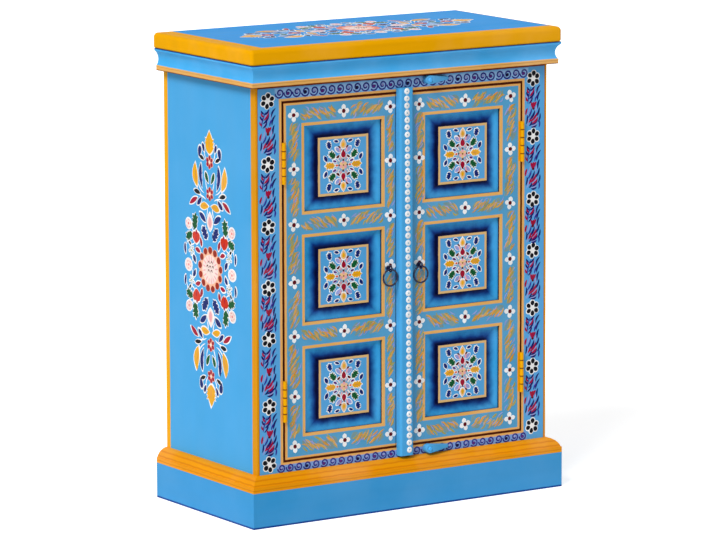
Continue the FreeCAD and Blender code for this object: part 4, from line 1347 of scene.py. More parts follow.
def scroll_tree() -> bpy.types.NodeTree:
    """Geometry tree for a row of spiral scrolls on the front.

    Returns:
        Tree with inputs for the row's start, step and count and for the scroll's radius and stroke.
    """
    sheet, given, made = new_tree(
        "scroll_row", "GeometryNodeTree",
        {"Start": "Vector", "Step": "Vector", "Count": "Int", "Radius": "Float", "Stroke": "Float",
         "Paint": "Material"},
        {"Geometry": "Geometry"})
    values = given.outputs
    row = sheet.node("GeometryNodeMeshLine", {
        "Count": values["Count"], "Start Location": values["Start"], "Offset": values["Step"]})
    spiral = sheet.node("GeometryNodeCurveSpiral", {
        "Resolution": SCROLL_POINTS, "Rotations": SCROLL_TURNS,
        "Start Radius": sheet.math("MULTIPLY", values["Radius"], SCROLL_HEART),
        "End Radius": values["Radius"], "Height": 0.0})
    part = sheet.node("GeometryNodeSplineParameter").outputs["Factor"]
    arch = sheet.math("SINE", sheet.math("MULTIPLY", part, math.pi))
    swell = sheet.math("MULTIPLY_ADD", arch, LINE_SWELL, LINE_ENDS)
    inked = sheet.node("GeometryNodeSetCurveRadius", {"Curve": spiral.outputs[0], "Radius": swell})
    nib = sheet.node("GeometryNodeCurvePrimitiveCircle", {
        "Resolution": LINE_CORNERS, "Radius": values["Stroke"]})
    line = sheet.node("GeometryNodeCurveToMesh", {
        "Curve": inked.outputs[0], "Profile Curve": nib.outputs[0], "Fill Caps": True})
    upright = sheet.node("GeometryNodeTransform", {
        "Geometry": line.outputs[0], "Rotation": (math.pi / 2.0, 0.0, 0.0),
        "Scale": (1.0, 1.0, LINE_FLATNESS)})
    lean = sheet.node("FunctionNodeRandomValue", {
        "Min": (0.0, -SCROLL_LEAN, 0.0), "Max": (0.0, SCROLL_LEAN, 0.0), "Seed": SEED},
        data_type="FLOAT_VECTOR")
    spread = sheet.node("GeometryNodeInstanceOnPoints", {
        "Points": row.outputs[0], "Instance": upright.outputs[0], "Rotation": lean.outputs[0]})
    real = sheet.node("GeometryNodeRealizeInstances", {"Geometry": spread.outputs[0]})
    smooth = sheet.node("GeometryNodeSetShadeSmooth", {"Geometry": real.outputs[0]})
    coated = sheet.node("GeometryNodeSetMaterial", {
        "Geometry": smooth.outputs[0], "Material": values["Paint"]})
    sheet.feed(made.inputs["Geometry"], coated.outputs[0])
    return sheet.tree


# Dressing CAD nodes

# Corners of a CAD mesh nearer than this are one, and edges sharper than this angle are eased
WELD_GAP = 0.01
SHARP_ANGLE = 40.0


def dress(names: Iterable[str], material: bpy.types.Material) -> None:
    """Give CAD nodes a material.

    Args:
        names: The nodes.
        material: What they wear.
    """
    for name in names:
        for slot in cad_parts[name].material_slots:
            slot.material = material


def ease_edges(names: Iterable[str], width: float) -> None:
    """Round the sharp edges of flat CAD boards a little.

    Args:
        names: The nodes.
        width: Size of the rounding.
    """
    for name in names:
        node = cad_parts[name]
        weld = node.modifiers.new("joined", "WELD")
        weld.merge_threshold = WELD_GAP * MM
        bevel = node.modifiers.new("eased", "BEVEL")
        bevel.width = width * MM
        bevel.segments = 2
        bevel.limit_method = "ANGLE"
        bevel.angle_limit = math.radians(SHARP_ANGLE)
        bevel.use_clamp_overlap = False


def box_mm(name: str) -> tuple[Vector, Vector]:
    """Lowest and highest corner of a CAD node, in millimetres."""
    low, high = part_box(name)
    return Vector(low) / MM, Vector(high) / MM


def opening_between(left: str, right: str, below: str, above: str) -> tuple[Triple, Triple]:
    """Find the opening between four CAD boards.

    Args:
        left: Board on its left.
        right: Board on its right.
        below: Board under it.
        above: Board over it.

    Returns:
        Its middle and its half size, with no edge in depth.
    """
    low = Vector((box_mm(left)[1].x, box_mm(below)[1].z))
    high = Vector((box_mm(right)[0].x, box_mm(above)[0].z))
    middle, half = (low + high) / 2.0, (high - low) / 2.0
    return (middle.x, 0.0, middle.y), (half.x, ENDLESS, half.y)


def front_canvas(face: float) -> Canvas:
    """Canvas on a face at the front, with x and height as its own directions."""
    return Canvas((0.0, face, 0.0), (1.0, 0.0, 0.0), (0.0, 0.0, 1.0))


def round_steps(count: int) -> list[Pair]:
    """Cosine and sine of evenly spaced turns."""
    turns = [2.0 * math.pi * index / count for index in range(count)]
    return [(math.cos(turn), math.sin(turn)) for turn in turns]


# Sub-assemblies

HANDS = ("left", "right")
PLACES = ("front", "left", "right")
PANELS = ("top", "middle", "bottom")
DOOR_RAILS = ("top", "upper", "lower", "bottom")
LEVELS = ("upper", "lower")

# Touches in the heart of a scroll, with their half length and half width as shares of its radius
DARK_HEART = Stroke(-0.6, -1.4, 0.42, 0.3, turn=40.0, bend=0.8, root=0.2, tip=0.2)
PALE_HEART = Stroke(0.2, 0.6, 0.26, 0.26)


@dataclass(frozen=True)
class ScrollBand:
    """Row of scrolls on a rail of the front frame, and the colour of the band under it."""

    name: str
    ground: Pigment
    level: float
    radius: float
    count: int = 30
    step: float = 16.2
    stroke: float = 1.3
    band_share: float = 0.9

    def place(self, index: int) -> float:
        """Distance of a scroll from the middle of the row."""
        return self.step * (index - (self.count - 1) / 2.0)

    def band(self) -> PaintedLine:
        """Painted band that the scrolls lie on."""
        half = (self.step * self.count / 2.0, ENDLESS, self.radius * self.band_share)
        return PaintedLine(
            self.ground, half, -ENDLESS, 0.0, centre=(0.0, 0.0, self.level), soft=2.4, wobble=6.0)

    def build(self, tree: bpy.types.NodeTree, paint: bpy.types.Material, face: float) -> None:
        """Make the scrolls.

        Args:
            tree: Geometry tree of a row.
            paint: Material of the scrolls.
            face: Where the front of the frame is.
        """
        piece = made_by_tree(f"{self.name}_scrolls", bpy.data.meshes.new(f"{self.name}_scroll_row"), tree, {
            "Start": Vector((self.place(0), face, self.level)) * MM,
            "Step": Vector((self.step, 0.0, 0.0)) * MM,
            "Count": self.count, "Radius": self.radius * MM, "Stroke": self.stroke * MM, "Paint": paint})
        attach(piece, "carcase")
        log.info("%s: %d scrolls", piece.name, self.count)

    def fill(self, work: BrushWork, canvas: Canvas) -> None:
        """Lay a pale dot or a dark blob in each scroll by turns.

        Args:
            work: Painting that they belong to.
            canvas: Front of the frame.
        """
        for index in range(self.count):
            heart, pigment = PALE_HEART, Pigment.LAVENDER
            if index % 2:
                heart, pigment = DARK_HEART, Pigment.PURPLE if index % 3 else Pigment.NAVY
            touch = replace(heart, long=heart.long * self.radius, wide=heart.wide * self.radius)
            work.lay(canvas, touch.moved(self.place(index), self.level), pigment, Layer.DETAIL)


@dataclass
class Carcase:
    """Boards, mouldings and front frame, with the ornament painted on them.

    Spans of painted lines are heights from the cornice's head or foot, or from the floor.
    """

    left_rim: float = 34.0
    front_rim: float = 24.0
    right_rim: float = 8.0
    cornice_shade: Pair = (-1.2, 3.8)
    cornice_fillet: Pair = (-0.6, 8.4)
    # Dark line of painted shade under the cornice's fillet
    cornice_foot_shade: Pair = (-1.8, 1.2)
    # Dark line of painted shade on the frame just under the cornice
    frame_head_shade: Pair = (-3.6, 3.6)
    # Dark band of painted shade along the floor at the plinth's foot
    plinth_foot_shade: Pair = (-1.2, 2.8)
    moulding_lines: tuple[float, ...] = (63.0, 70.5, 77.5)
    moulding_line_width: float = 1.4
    back_line: float = 11.5
    bare_side: float = 2.0
    bare_front: float = 6.0
    front_paint_reach: float = 14.5
    medallion_depth: float = 9.5
    medallion_height: float = 395.0
    top_depth: float = 18.0
    top_across: float = 10.0
    left_flowers: tuple[float, ...] = (681.0, 580.0, 480.0, 382.0, 300.0, 191.0, 98.0)
    right_flowers: tuple[float, ...] = (681.0, 586.0, 482.0, 397.0, 301.0, 204.0, 104.0)
    flower_lines: Pair = (-257.5, 253.5)
    scrolls: tuple[ScrollBand, ...] = (
        # The top band's ground is painted paler to lift the shade under the cornice
        ScrollBand("top", Pigment.SHADE_LIFTING_LILAC, 691.4, 8.2),
        ScrollBand("bottom", Pigment.PERIWINKLE, 89.2, 7.4),
    )
    nail_margin: float = 8.0
    nail_radius: float = 2.4
    nails_across: int = 8
    nails_up: int = 10

    def __post_init__(self) -> None:
        """Take the carcase's faces from the frame."""
        self.side = box_mm("side_panel_right")[1].x
        self.back = box_mm("side_panel_right")[1].y
        self.face = box_mm("frame_stile_left")[0].y
        self.top = box_mm("top_board")[1].z
        foot, head = box_mm("cornice_front")
        self.cornice_foot, self.cornice_head = foot.z, head.z

    def top_paint(self) -> PaintFinish:
        """Blue top with an amber rim at the front and sides.

        Returns:
            The finish.
        """
        low, high = box_mm("top_board")
        left, right = low.x + self.left_rim, high.x - self.right_rim
        middle = ((left + right) / 2.0, ENDLESS + low.y + self.front_rim, 0.0)
        inner = ((right - left) / 2.0, ENDLESS, ENDLESS)
        rim = PaintedLine(Pigment.AMBER, inner, start=0.0, end=60.0, centre=middle)
        coat = Coat((4.0, 40.0, 40.0), mottle=0.13, shine=0.02)
        return PaintFinish("top_paint", Pigment.TOP_BLUE, coat, (rim,))

    def cornice_line(self, pigment: Pigment, level: float, span: Pair, **edge: float) -> PaintedLine:
        """Line between two heights over the cornice's head or foot."""
        low, high = span
        return PaintedLine.level(pigment, level + low, level + high, **edge)

    def cornice_paint(self) -> PaintFinish:
        """Blue cornice with an amber fillet at its foot, and painted shade under the top board and under the
        fillet.

        Returns:
            The finish.
        """
        lines = (
            self.cornice_line(Pigment.SHADOW_BLUE, self.cornice_head, self.cornice_shade, soft=0.8),
            self.cornice_line(Pigment.LINE_AMBER, self.cornice_foot, self.cornice_fillet),
            self.cornice_line(Pigment.UMBER, self.cornice_foot, self.cornice_foot_shade, soft=0.6),
        )
        coat = Coat((5.0, 5.0, 60.0), mottle=0.24)
        return PaintFinish("cornice_paint", Pigment.CORNICE_BLUE, coat, lines)

    def plinth_paint(self) -> PaintFinish:
        """Blue plinth, with painted shade along the floor."""
        foot = PaintedLine.level(Pigment.SHADOW_BLUE, *self.plinth_foot_shade, soft=1.2)
        return PaintFinish("plinth_paint", Pigment.PLINTH_BLUE, Coat((4.0, 4.0, 40.0), mottle=0.12), (foot,))

    def moulding_paint(self) -> PaintFinish:
        """Amber moulding with fine rust lines along it.

        Returns:
            The finish.
        """
        lines = tuple(
            PaintedLine.level(Pigment.RUST, height - self.moulding_line_width, height, soft=1.3, wobble=2.4)
            for height in self.moulding_lines)
        return PaintFinish("moulding_paint", Pigment.MOULDING, Coat((6.0, 6.0, 110.0), mottle=0.2), lines)

    def side_paint(self) -> PaintFinish:
        """Blue sides with an amber line at the back edge and bare wood inside.

        Returns:
            The finish.
        """
        lines = (
            PaintedLine(Pigment.AMBER, (ENDLESS, self.back - self.back_line, ENDLESS), start=0.0, end=20.0),
            PaintedLine(Pigment.WOOD, (self.side - self.bare_side, ENDLESS, ENDLESS), -ENDLESS, 0.0),
        )
        return PaintFinish("side_paint", Pigment.SKY, Coat((30.0, 30.0, 4.0), mottle=0.07), lines)

    def frame_paint(self) -> PaintFinish:
        """Blue front frame with amber lines at its corners and round the doors, and painted shade in the gap
        round the doors and under the cornice.

        Returns:
            The finish.
        """
        middle, opening = opening_between(
            "frame_stile_left", "frame_stile_right", "frame_rail_bottom", "frame_rail_top")
        # Dark line of painted shade along the gap round the doors
        gap_shade = (opening[0], ENDLESS, opening[2] + 0.8)
        corner = (self.side, ENDLESS, ENDLESS)
        inside = (self.side - self.bare_side, -self.face - self.bare_front, ENDLESS)
        lines = (
            *(band.band() for band in self.scrolls),
            PaintedLine(Pigment.LINE_AMBER, opening, start=-1.0, end=5.0, centre=middle),
            PaintedLine(Pigment.UMBER, gap_shade, start=-1.2, end=0.4, centre=middle, soft=0.3),
            self.cornice_line(Pigment.UMBER, self.cornice_foot, self.frame_head_shade, soft=0.5),
            PaintedLine(Pigment.UMBER, corner, start=-4.2, end=5.0),
            PaintedLine(Pigment.HONEY, corner, start=-3.5, end=5.0),
            PaintedLine.behind(Pigment.SKY, self.face, self.front_paint_reach),
            PaintedLine(Pigment.WOOD, inside, -ENDLESS, 0.0),
        )
        return PaintFinish("frame_paint", Pigment.FRAME_BLUE, Coat((30.0, 30.0, 12.0)), lines)

    def dress(self) -> None:
        """Dress every CAD node of the carcase."""
        dress(["top_board"], self.top_paint().material())
        for part, finish in (("cornice", self.cornice_paint()), ("plinth", self.plinth_paint()),
                             ("plinth_moulding", self.moulding_paint())):
            dress([f"{part}_{place}" for place in PLACES], finish.material())
        dress([f"side_panel_{hand}" for hand in HANDS], self.side_paint().material())
        front = ["frame_stile_left", "frame_stile_right", "frame_rail_top", "frame_rail_bottom"]
        dress(front, self.frame_paint().material())
        inner = ["back_panel", "bottom_board", "shelf", "bottom_cleats", "shelf_cleats"]
        dress(inner, WoodFinish("inner_wood").material())

    def scroll_bands(self) -> None:
        """Make the rows of scrolls on the front frame's rails."""
        tree = scroll_tree()
        paint = PaintFinish("scroll_paint", Pigment.IRIS, Coat((80.0, 80.0, 80.0), mottle=0.4)).material()
        for band in self.scrolls:
            band.build(tree, paint, self.face)

    def back_nails(self) -> None:
        """Make the nail heads round the edge of the back panel."""
        low, high = box_mm("back_panel")
        work = BrushWork("back_nails", "carcase", "nail_steel")
        back = Canvas((0.0, high.y, 0.0), (-1.0, 0.0, 0.0), (0.0, 0.0, 1.0))
        left, right = low.x + self.nail_margin, high.x - self.nail_margin
        foot, head = low.z + self.nail_margin, high.z - self.nail_margin
        places = []
        for index in range(self.nails_across):
            x = left + (right - left) * index / (self.nails_across - 1)
            places += [(x, foot), (x, head)]
        for index in range(1, self.nails_up - 1):
            z = foot + (head - foot) * index / (self.nails_up - 1)
            places += [(left, z), (right, z)]
        for x, z in places:
            work.dot(back, -x, z, self.nail_radius, Pigment.STEEL, Layer.FILL)
        work.build(BrushFinish("back_nail_steel", replace(BrushFinish.coat, shine=0.5)).material())

    def paint_front(self, brush: bpy.types.Material) -> None:
        """Paint the flowers and leaves of the front frame.

        Args:
            brush: Material of the strokes.
        """
        work = BrushWork("front_frame_painting", "carcase", "frame_paint")
        ornament = Ornament(work)
        front = front_canvas(self.face)
        for line, heights in zip(self.flower_lines, (self.left_flowers, self.right_flowers)):
            for height in heights:
                ornament.flower(front, line, height, BLACK_FLOWER)
            for high, low in zip(heights, heights[1:]):
                ornament.leaf_spray(front, line, low, high)
        for band in self.scrolls:
            band.fill(work, front)
        work.build(brush)

    def paint_medallions(self, brush: bpy.types.Material) -> None:
        """Paint the long motifs on the sides and on the top.

        Args:
            brush: Material of the strokes.
        """
        left = Canvas((-self.side, 0.0, 0.0), (0.0, -1.0, 0.0), (0.0, 0.0, 1.0))
        right = Canvas((self.side, 0.0, 0.0), (0.0, 1.0, 0.0), (0.0, 0.0, 1.0))
        upper = Canvas((0.0, 0.0, self.top), (0.0, -1.0, 0.0), (1.0, 0.0, 0.0))
        places = (
            ("left_side_painting", left, -self.medallion_depth, self.medallion_height, Pigment.BRICK),
            ("right_side_painting", right, self.medallion_depth, self.medallion_height, Pigment.BRICK),
            ("top_painting", upper, -self.top_depth, self.top_across, Pigment.CORAL),
        )
        for name, canvas, x, y, petal_pigment in places:
            work = BrushWork(name, "carcase", "blue_paint")
            Ornament(work).medallion(canvas, x, y, petal_pigment)
            work.build(brush)


@dataclass
class Door:
    """One door: framed panels with painted lines, flowers and bouquets."""

    hand: str
    columns: Triple
    spreads: Pair
    rail_rows: tuple[float, ...] = (655.0, 479.5, 300.0, 121.5)
    stile_rows: tuple[float, ...] = (568.5, 387.0, 202.5)
    rail_spread: float = 9.0
    rail_lean: float = 42.0
    stile_lean: float = -32.0
    flower_room: float = 16.0
    field_side_margin: float = 25.0
    field_end_margin: float = 20.0
    field_slope: float = 1.17
    field_border: float = 4.2
    strip_lap: float = 20.0
    pull_lift: float = 11.0
    hinge_run: float = 5.0
    edge_shade: float = 2.8
    edge_depth: float = 6.2
    panel_depth: float = 7.9

    def __post_init__(self) -> None:
        """Find the door's stiles, from left to right, and its faces in the frame."""
        order = ("hinge", "meeting") if self.hand == "left" else ("meeting", "hinge")
        self.stiles = tuple(f"{self.hand}_door_{stile}_stile" for stile in order)
        self.face = box_mm(self.stiles[0])[0].y
        self.field_face = box_mm(f"{self.hand}_door_panel_top")[0].y

    def opening(self, panel: str) -> tuple[Triple, Triple]:
        """Find the opening that a panel fills.

        Args:
            panel: Which panel.

        Returns:
            Its middle and its half size, with no edge in depth.
        """
        rail = PANELS.index(panel)
        above, below = (f"{self.hand}_door_rail_{name}" for name in DOOR_RAILS[rail:rail + 2])
        return opening_between(*self.stiles, below, above)

    def frame_paint(self) -> PaintFinish:
        """Grey-blue stiles and rails with amber lines round the door and each panel, and painted shade along
        the door's edges and deep in the panel openings.

        Returns:
            The finish.
        """
        low, high = box_mm(self.stiles[0])[0], box_mm(self.stiles[1])[1]
        if self.hand == "left":
            high.x += self.strip_lap
        else:
            low.x -= self.strip_lap
        middle = tuple((low + high) / 2.0)
        half = ((high.x - low.x) / 2.0, ENDLESS, (high.z - low.z) / 2.0)
        # Dark line of painted shade along the door's edges, in the gap
        gap_shade = (half[0], ENDLESS, half[2] - 1.0)
        lines = [PaintedLine(Pigment.LINE_AMBER, half, start=-4.8, end=3.0, centre=middle),
                 PaintedLine(Pigment.UMBER, gap_shade, start=-0.5, end=3.0, centre=middle, soft=0.3)]
        hinge_edge = low.x if self.hand == "left" else high.x
        hinge_half = Ironwork.knuckle * Ironwork.knuckles / 2.0
        for foot in Ironwork.hinge_feet(self.hand):
            run_over = (self.hinge_run, ENDLESS, hinge_half)
            place = (hinge_edge, 0.0, foot + hinge_half)
            lines.append(PaintedLine(Pigment.AMBER, run_over, -ENDLESS, 0.0, centre=place))
        for panel in PANELS:
            opening, opening_half = self.opening(panel)
            lines.append(PaintedLine(Pigment.LINE_AMBER, opening_half, start=-2.0, end=4.8, centre=opening))
        lines.append(PaintedLine.behind(Pigment.NAVY, self.face, self.edge_shade, soft=0.6))
        lines.append(PaintedLine.behind(Pigment.DOOR_BLUE, self.face, self.edge_depth))
        coat = Coat((24.0, 24.0, 24.0), mottle=0.14)
        return PaintFinish(f"{self.hand}_door_paint", Pigment.DOOR_BLUE, coat, tuple(lines))

    def panel_paint(self, panel: str) -> PaintFinish:
        """Blue panel, shaded navy round a field with a cream border.

        Args:
            panel: Which panel.

        Returns:
            The finish.
        """
        middle, opening = self.opening(panel)
        half = (opening[0] - self.field_side_margin - self.field_slope, ENDLESS,
                opening[2] - self.field_end_margin - self.field_slope)
        border = -self.field_border
        lines = (
            PaintedLine(
                Pigment.SHADOW_BLUE, half, start=-12.0, end=13.5, centre=middle, soft=9.0, wobble=10.0),
            PaintedLine(Pigment.NAVY, half, start=-12.0, end=4.6, centre=middle, soft=4.2, wobble=9.0),
            PaintedLine(Pigment.CREAM, half, start=border, end=-0.2, centre=middle),
            PaintedLine(Pigment.FIELD_BLUE, half, start=-ENDLESS, end=border, centre=middle),
            PaintedLine.behind(Pigment.DOOR_BLUE, self.field_face, self.panel_depth),
        )
        coat = Coat((40.0, 40.0, 40.0), mottle=0.12)
        return PaintFinish(f"{self.hand}_{panel}_panel_paint", Pigment.RECESS_BLUE, coat, lines)

    def dress(self) -> None:
        """Dress the door's CAD nodes."""
        rails = [f"{self.hand}_door_rail_{rail}" for rail in DOOR_RAILS]
        dress([*self.stiles, *rails], self.frame_paint().material())
        for panel in PANELS:
            dress([f"{self.hand}_door_panel_{panel}"], self.panel_paint(panel).material())

    def paint(self) -> BrushWork:
        """Paint the door's flowers, scribbles and bouquets.

        Returns:
            The painting, to which more can be added before it is built.
        """
        work = BrushWork(f"{self.hand}_door_painting", f"{self.hand}_door", "door_paint")
        ornament = Ornament(work)
        front, field = front_canvas(self.face), front_canvas(self.field_face)
        first, middle, last = self.columns
        room = self.flower_room
        for row in self.rail_rows:
            for start, end, lean in ((first, middle, -self.rail_lean), (middle, last, self.rail_lean)):
                ornament.scribble(front, (start + room, row), (end - room, row), lean, self.rail_spread)
            ornament.flower(front, middle, row, WHITE_FLOWER)
        for column, spread in zip((first, last), self.spreads):
            heights = self.stile_flowers(column)
            for low, high in zip(heights, heights[1:]):
                ornament.scribble(front, (column, low + room), (column, high - room), self.stile_lean, spread)
            for height in heights:
                ornament.flower(front, column, height, WHITE_FLOWER)
        for panel in PANELS:
            x, _, z = self.opening(panel)[0]
            ornament.bouquet(field, x, z)
        return work

    def stile_flowers(self, column: float) -> list[float]:
        """Heights of a stile's flowers from the lowest up, with one lifted over the ring pull.

        Args:
            column: Middle line of the stile.

        Returns:
            The heights.
        """
        heights = sorted((*self.rail_rows, *self.stile_rows))
        if abs(column) < self.strip_lap * 2.0:
            heights[heights.index(self.stile_rows[1])] += self.pull_lift
        return heights


@dataclass
class MeetingStrip:
    """Strip on the right door with a row of raised white dots."""

    dots: int = 51
    first: float = 679.5
    pitch: float = 11.7
    dot_radius: float = 5.3
    eye_radius: float = 1.9
    first_x: float = -2.2
    last_x: float = 2.2

    def dress(self) -> None:
        """Dress the strip in blue."""
        dress(["meeting_strip"], PaintFinish("strip_paint", Pigment.SKY, Coat((30.0, 30.0, 5.0))).material())

    def paint(self, work: BrushWork) -> None:
        """Add the dots to the right door's painting.

        Args:
            work: The painting.
        """
        front = front_canvas(box_mm("meeting_strip")[0].y)
        for index in range(self.dots):
            x = self.first_x + (self.last_x - self.first_x) * index / (self.dots - 1)
            height = self.first - index * self.pitch
            work.dot(front, x, height, self.dot_radius, Pigment.WHITE, Layer.DOT)
            work.dot(front, x, height, self.eye_radius, Pigment.MIST, Layer.EYE)


class MeshDraft:
    """Vertices and faces of a turned or bent piece, before they become a mesh."""

    wire_corners = 12
    turned_corners = 20

    def __init__(self) -> None:
        """Start with nothing drawn."""
        self.points: list[Vector] = []
        self.faces: list[tuple[int, ...]] = []

    def loops(self, rings: Sequence[Sequence[Vector]], closed: bool) -> None:
        """Join rings of points by faces.

        Args:
            rings: Rings with the same number of points each.
            closed: Whether the last ring joins the first one. Otherwise both ends are capped.
        """
        base, count = len(self.points), len(rings[0])
        for ring in rings:
            self.points.extend(ring)
        pairs = len(rings) if closed else len(rings) - 1
        for index in range(pairs):
            here, there = base + index * count, base + (index + 1) % len(rings) * count
            for corner in range(count):
                following = (corner + 1) % count
                self.faces.append((here + corner, here + following, there + following, there + corner))
        if not closed:
            self.faces.append(tuple(base + corner for corner in reversed(range(count))))
            self.faces.append(tuple(base + pairs * count + corner for corner in range(count)))

    def wire_ring(self, middle: Vector, axis: Vector, radius: float, wire: float, sides: int) -> None:
        """Draw a closed ring of round wire.

        Args:
            middle: Its middle.
            axis: Direction of its hole.
            radius: Radius of the wire's middle line.
            wire: Radius of the wire.
            sides: Rings of points along it.
        """
        up = Vector((0.0, 0.0, 1.0))
        aside = axis.cross(up)
        rings = []
        for cosine, sine in round_steps(sides):
            outwards = aside * cosine + up * sine
            rings.append([middle + outwards * (radius + wire * out) + axis * wire * over
                          for out, over in round_steps(self.wire_corners)])
        self.loops(rings, True)

    def turned(self, middle: Vector, profile: Sequence[Pair]) -> None:
        """Draw a piece turned about the depth axis.

        Args:
            middle: Where depth 0 is.
            profile: (radius, depth) along it, with depth towards the back.
        """
        corners = round_steps(self.turned_corners)
        rings = [[middle + Vector((radius * cosine, depth, -radius * sine)) for cosine, sine in corners]
                 for radius, depth in profile]
        self.loops(rings, False)

    def build(self, name: str, material: bpy.types.Material) -> bpy.types.Object:
        """Make the smooth mesh of what was drawn, in metres.

        Args:
            name: Name of the piece.
            material: What it wears.

        Returns:
            The finished object.
        """
        mesh = bpy.data.meshes.new(name)
        mesh.from_pydata([point * MM for point in self.points], [], self.faces)
        mesh.materials.append(material)
        mesh.shade_smooth()
        mesh.validate()
        return new_object(name, mesh)


@dataclass
class RingPull:
    """Screw eye in a door's meeting stile and the ring that hangs in it."""

    hand: str
    ring_radius: float = 13.4
    ring_wire: float = 1.5
    ring_sides: int = 56
    eye_radius: float = 4.5
    eye_wire: float = 1.4
    eye_sides: int = 32
    collar: tuple[Pair, ...] = ((2.2, -1.5), (3.6, -1.2), (4.2, -0.4), (4.2, 0.2))
    shank: tuple[Pair, ...] = ((1.2, -3.8), (1.4, -3.2), (1.7, -1.4), (1.7, 0.3))

    def build(self, iron: bpy.types.Material, face: float) -> None:
        """Make the smooth ring and eye that stand for the CAD ones.

        Args:
            iron: Material of both.
            face: Where the front of the door is.
        """
        low, high = box_mm(f"{self.hand}_pull_ring")
        middle = (low + high) / 2.0
        ring = MeshDraft()
        ring.wire_ring(middle, Vector((0.0, 1.0, 0.0)), self.ring_radius, self.ring_wire, self.ring_sides)
        low, high = box_mm(f"{self.hand}_pull_eye")
        loop = Vector((middle.x, low.y + self.eye_radius + self.eye_wire, (low.z + high.z) / 2.0))
        eye = MeshDraft()
        eye.wire_ring(loop, Vector((1.0, 0.0, 0.0)), self.eye_radius, self.eye_wire, self.eye_sides)
        foot = Vector((middle.x, face, loop.z))
        eye.turned(foot, self.shank)
        eye.turned(foot, self.collar)
        for draft, name, body, node in ((ring, "ring_wire", "ring", "pull_ring"),
                                        (eye, "screw_eye", "door", "pull_eye")):
            piece = draft.build(f"{self.hand}_{name}", iron)
            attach(piece, f"{self.hand}_{body}")
            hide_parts(f"{self.hand}_{node}")
        log.info("%s ring pull", self.hand)


@dataclass
class Ironwork:
    """Hinges, nails and turn buttons, dressed in paint."""

    knuckle: float = 13.2
    knuckles: int = 5
    grime_half: float = 0.4
    button_edge: float = 0.8

    @staticmethod
    def hinge_feet(hand: str) -> list[float]:
        """Heights of the lower ends of a door's hinges, from the lowest up."""
        return sorted(box_mm(f"{hand}_{level}_hinge_frame_leaf")[0].z for level in LEVELS)

    def dress(self) -> None:
        """Dress the CAD nodes of the hinges, nails and buttons."""
        leaves = [f"{hand}_{level}_hinge_{leaf}_leaf"
                  for hand in HANDS for level in LEVELS for leaf in ("frame", "door")]
        gap = (ENDLESS, ENDLESS, self.grime_half)
        heights = [foot + step * self.knuckle
                   for foot in self.hinge_feet("left") for step in range(1, self.knuckles)]
        grime = tuple(
            PaintedLine(Pigment.UMBER, gap, start=-0.5, end=0.5, centre=(0.0, 0.0, height), soft=0.4)
            for height in heights)
        amber_coat = Coat((60.0, 60.0, 60.0), mottle=0.2, dullness=0.36)
        amber = PaintFinish("hinge_paint", Pigment.AMBER, amber_coat, grime)
        dress([*leaves, "hinge_pins"], amber.material())
        buttons = [f"{place}_turn_button" for place in ("top", "bottom")]
        blue = PaintFinish("button_paint", Pigment.SKY, Coat((60.0, 60.0, 60.0), mottle=0.18))
        dress(buttons, blue.material())
        ease_edges(buttons, self.button_edge)
        nail_coat = Coat((90.0, 90.0, 90.0), mottle=0.25, dullness=0.35)
        nail = PaintFinish("nail_paint", Pigment.RECESS_BLUE, nail_coat)
        dress(["top_button_nail", "bottom_button_nail"], nail.material())


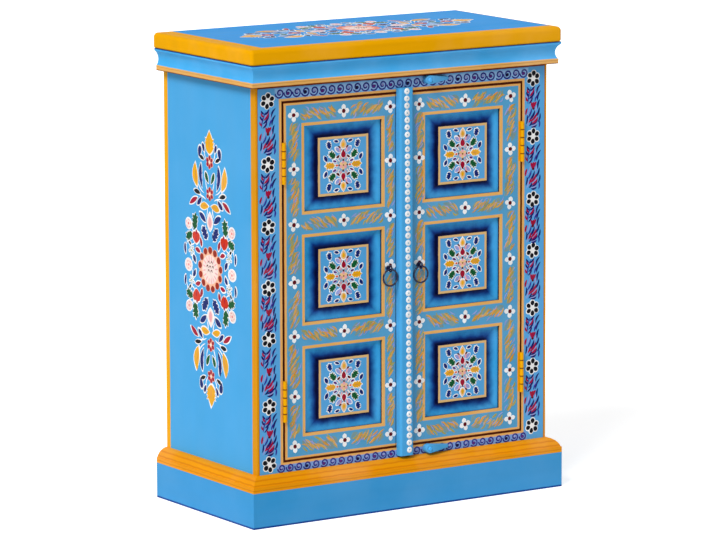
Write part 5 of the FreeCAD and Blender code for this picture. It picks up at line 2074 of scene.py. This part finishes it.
@dataclass
class Studio:
    """Pale floor, soft light and the camera of the photograph.

    Places and distances are in metres, the lens and its sensor in millimetres and angles in degrees.
    """

    lens: float = 236.88
    sensor: float = 36.0
    view_end: float = 60.0
    place: Triple = (-4.15542, -6.35823, 1.63407)
    azimuth: float = -33.144
    pitch: float = 9.449
    roll: float = -0.1425
    floor_radius: float = 14.0
    floor_corners: int = 64
    floor_tones: Pair = (0.86, 0.90)
    floor_waves: float = 1.5
    floor_dullness: float = 0.9
    floor_glow: float = 0.62
    sun_heading: Triple = (0.66, 0.35, -0.66)
    sun_strength: float = 2.24
    sun_spread: float = 25.0
    sky_strength: float = 0.36

    def camera(self) -> None:
        """Set the camera at the photograph's angle."""
        data = bpy.data.cameras.new("camera")
        data.lens = self.lens
        data.sensor_width = self.sensor
        data.clip_end = self.view_end
        camera = bpy.data.objects.new("camera", data)
        turn = Matrix.Rotation(math.radians(self.azimuth), 4, "Z")
        tilt = Matrix.Rotation(math.radians(90.0 - self.pitch), 4, "X")
        roll = Matrix.Rotation(math.radians(self.roll), 4, "Z")
        camera.matrix_world = Matrix.Translation(self.place) @ turn @ tilt @ roll
        bpy.context.scene.collection.objects.link(camera)
        bpy.context.scene.camera = camera

    def plain_rays(self, sheet: NodeSheet) -> bpy.types.NodeSocket:
        """Mask the rays that show the background: straight, mirrored and refracted ones.

        Args:
            sheet: Sheet of the tree that the mask goes into.

        Returns:
            Output that is 1 for those rays.
        """
        path = sheet.node("ShaderNodeLightPath").outputs
        seen = sheet.math("MAXIMUM", path["Is Camera Ray"], path["Is Glossy Ray"])
        return sheet.math("MAXIMUM", seen, path["Is Transmission Ray"])

    def light(self) -> None:
        """Set the sky and one broad sun."""
        data = bpy.data.lights.new("sun", "SUN")
        data.energy = self.sun_strength
        data.angle = math.radians(self.sun_spread)
        sun = bpy.data.objects.new("sun", data)
        sun.rotation_euler = Vector(self.sun_heading).to_track_quat("-Z", "Y").to_euler()
        bpy.context.scene.collection.objects.link(sun)
        world = bpy.data.worlds.new("sky")
        world.use_nodes = True
        world.node_tree.nodes.clear()
        sheet = NodeSheet(world.node_tree)
        rays = self.plain_rays(sheet)
        strength = sheet.math("MULTIPLY_ADD", rays, 1.0 - self.sky_strength, self.sky_strength)
        sky = sheet.node("ShaderNodeBackground", {"Color": (1.0, 1.0, 1.0, 1.0), "Strength": strength})
        sheet.node("ShaderNodeOutputWorld", {"Surface": sky.outputs[0]})
        bpy.context.scene.world = world

    def floor(self) -> None:
        """Lay a pale floor that shows white and keeps a soft shadow."""
        radius = self.floor_radius
        corners = [(radius * cosine, radius * sine, 0.0) for cosine, sine in round_steps(self.floor_corners)]
        mesh = bpy.data.meshes.new("floor")
        mesh.from_pydata(corners, [], [tuple(range(len(corners)))])
        material, sheet, shader = blank_material("floor")
        clouds = sheet.noise(object_point(sheet), self.floor_waves, detail=2.0)
        darker, lighter = ((tone, tone, tone, 1.0) for tone in self.floor_tones)
        sheet.feed(shader.inputs["Base Color"], sheet.over(sheet.step(clouds, -0.5, 0.5), darker, lighter))
        shader.inputs["Roughness"].default_value = self.floor_dullness
        shader.inputs["Emission Color"].default_value = (1.0, 1.0, 1.0, 1.0)
        glow = sheet.math("MULTIPLY", self.plain_rays(sheet), self.floor_glow)
        sheet.feed(shader.inputs["Emission Strength"], glow)
        mesh.materials.append(material)
        new_object("floor", mesh)

    def build(self) -> None:
        """Set up camera, light and floor."""
        self.camera()
        self.light()
        self.floor()
        bpy.context.scene.view_settings.view_transform = "Standard"


def main() -> None:
    """Build the looks of the sideboard, piece by piece."""
    logging.basicConfig(level=logging.INFO, format="%(name)s: %(message)s")
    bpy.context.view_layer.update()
    Studio().build()
    brush = BrushFinish("brush_paint").material()
    carcase = Carcase()
    carcase.dress()
    carcase.scroll_bands()
    carcase.paint_front(brush)
    carcase.paint_medallions(brush)
    carcase.back_nails()
    left = Door("left", columns=(-209.5, -115.0, -26.5), spreads=(9.0, 5.0))
    right = Door("right", columns=(29.5, 119.0, 208.0), spreads=(5.5, 9.0))
    strip = MeetingStrip()
    strip.dress()
    for door in (left, right):
        door.dress()
        work = door.paint()
        if door is right:
            strip.paint(work)
        work.build(brush)
    pull_coat = Coat((120.0, 120.0, 120.0), mottle=0.4, dullness=0.2, shine=0.4)
    iron = PaintFinish("pull_paint", Pigment.NAVY, pull_coat).material()
    for door in (left, right):
        RingPull(door.hand).build(iron, door.face)
    Ironwork().dress()


if __name__ == "__main__":
    main()
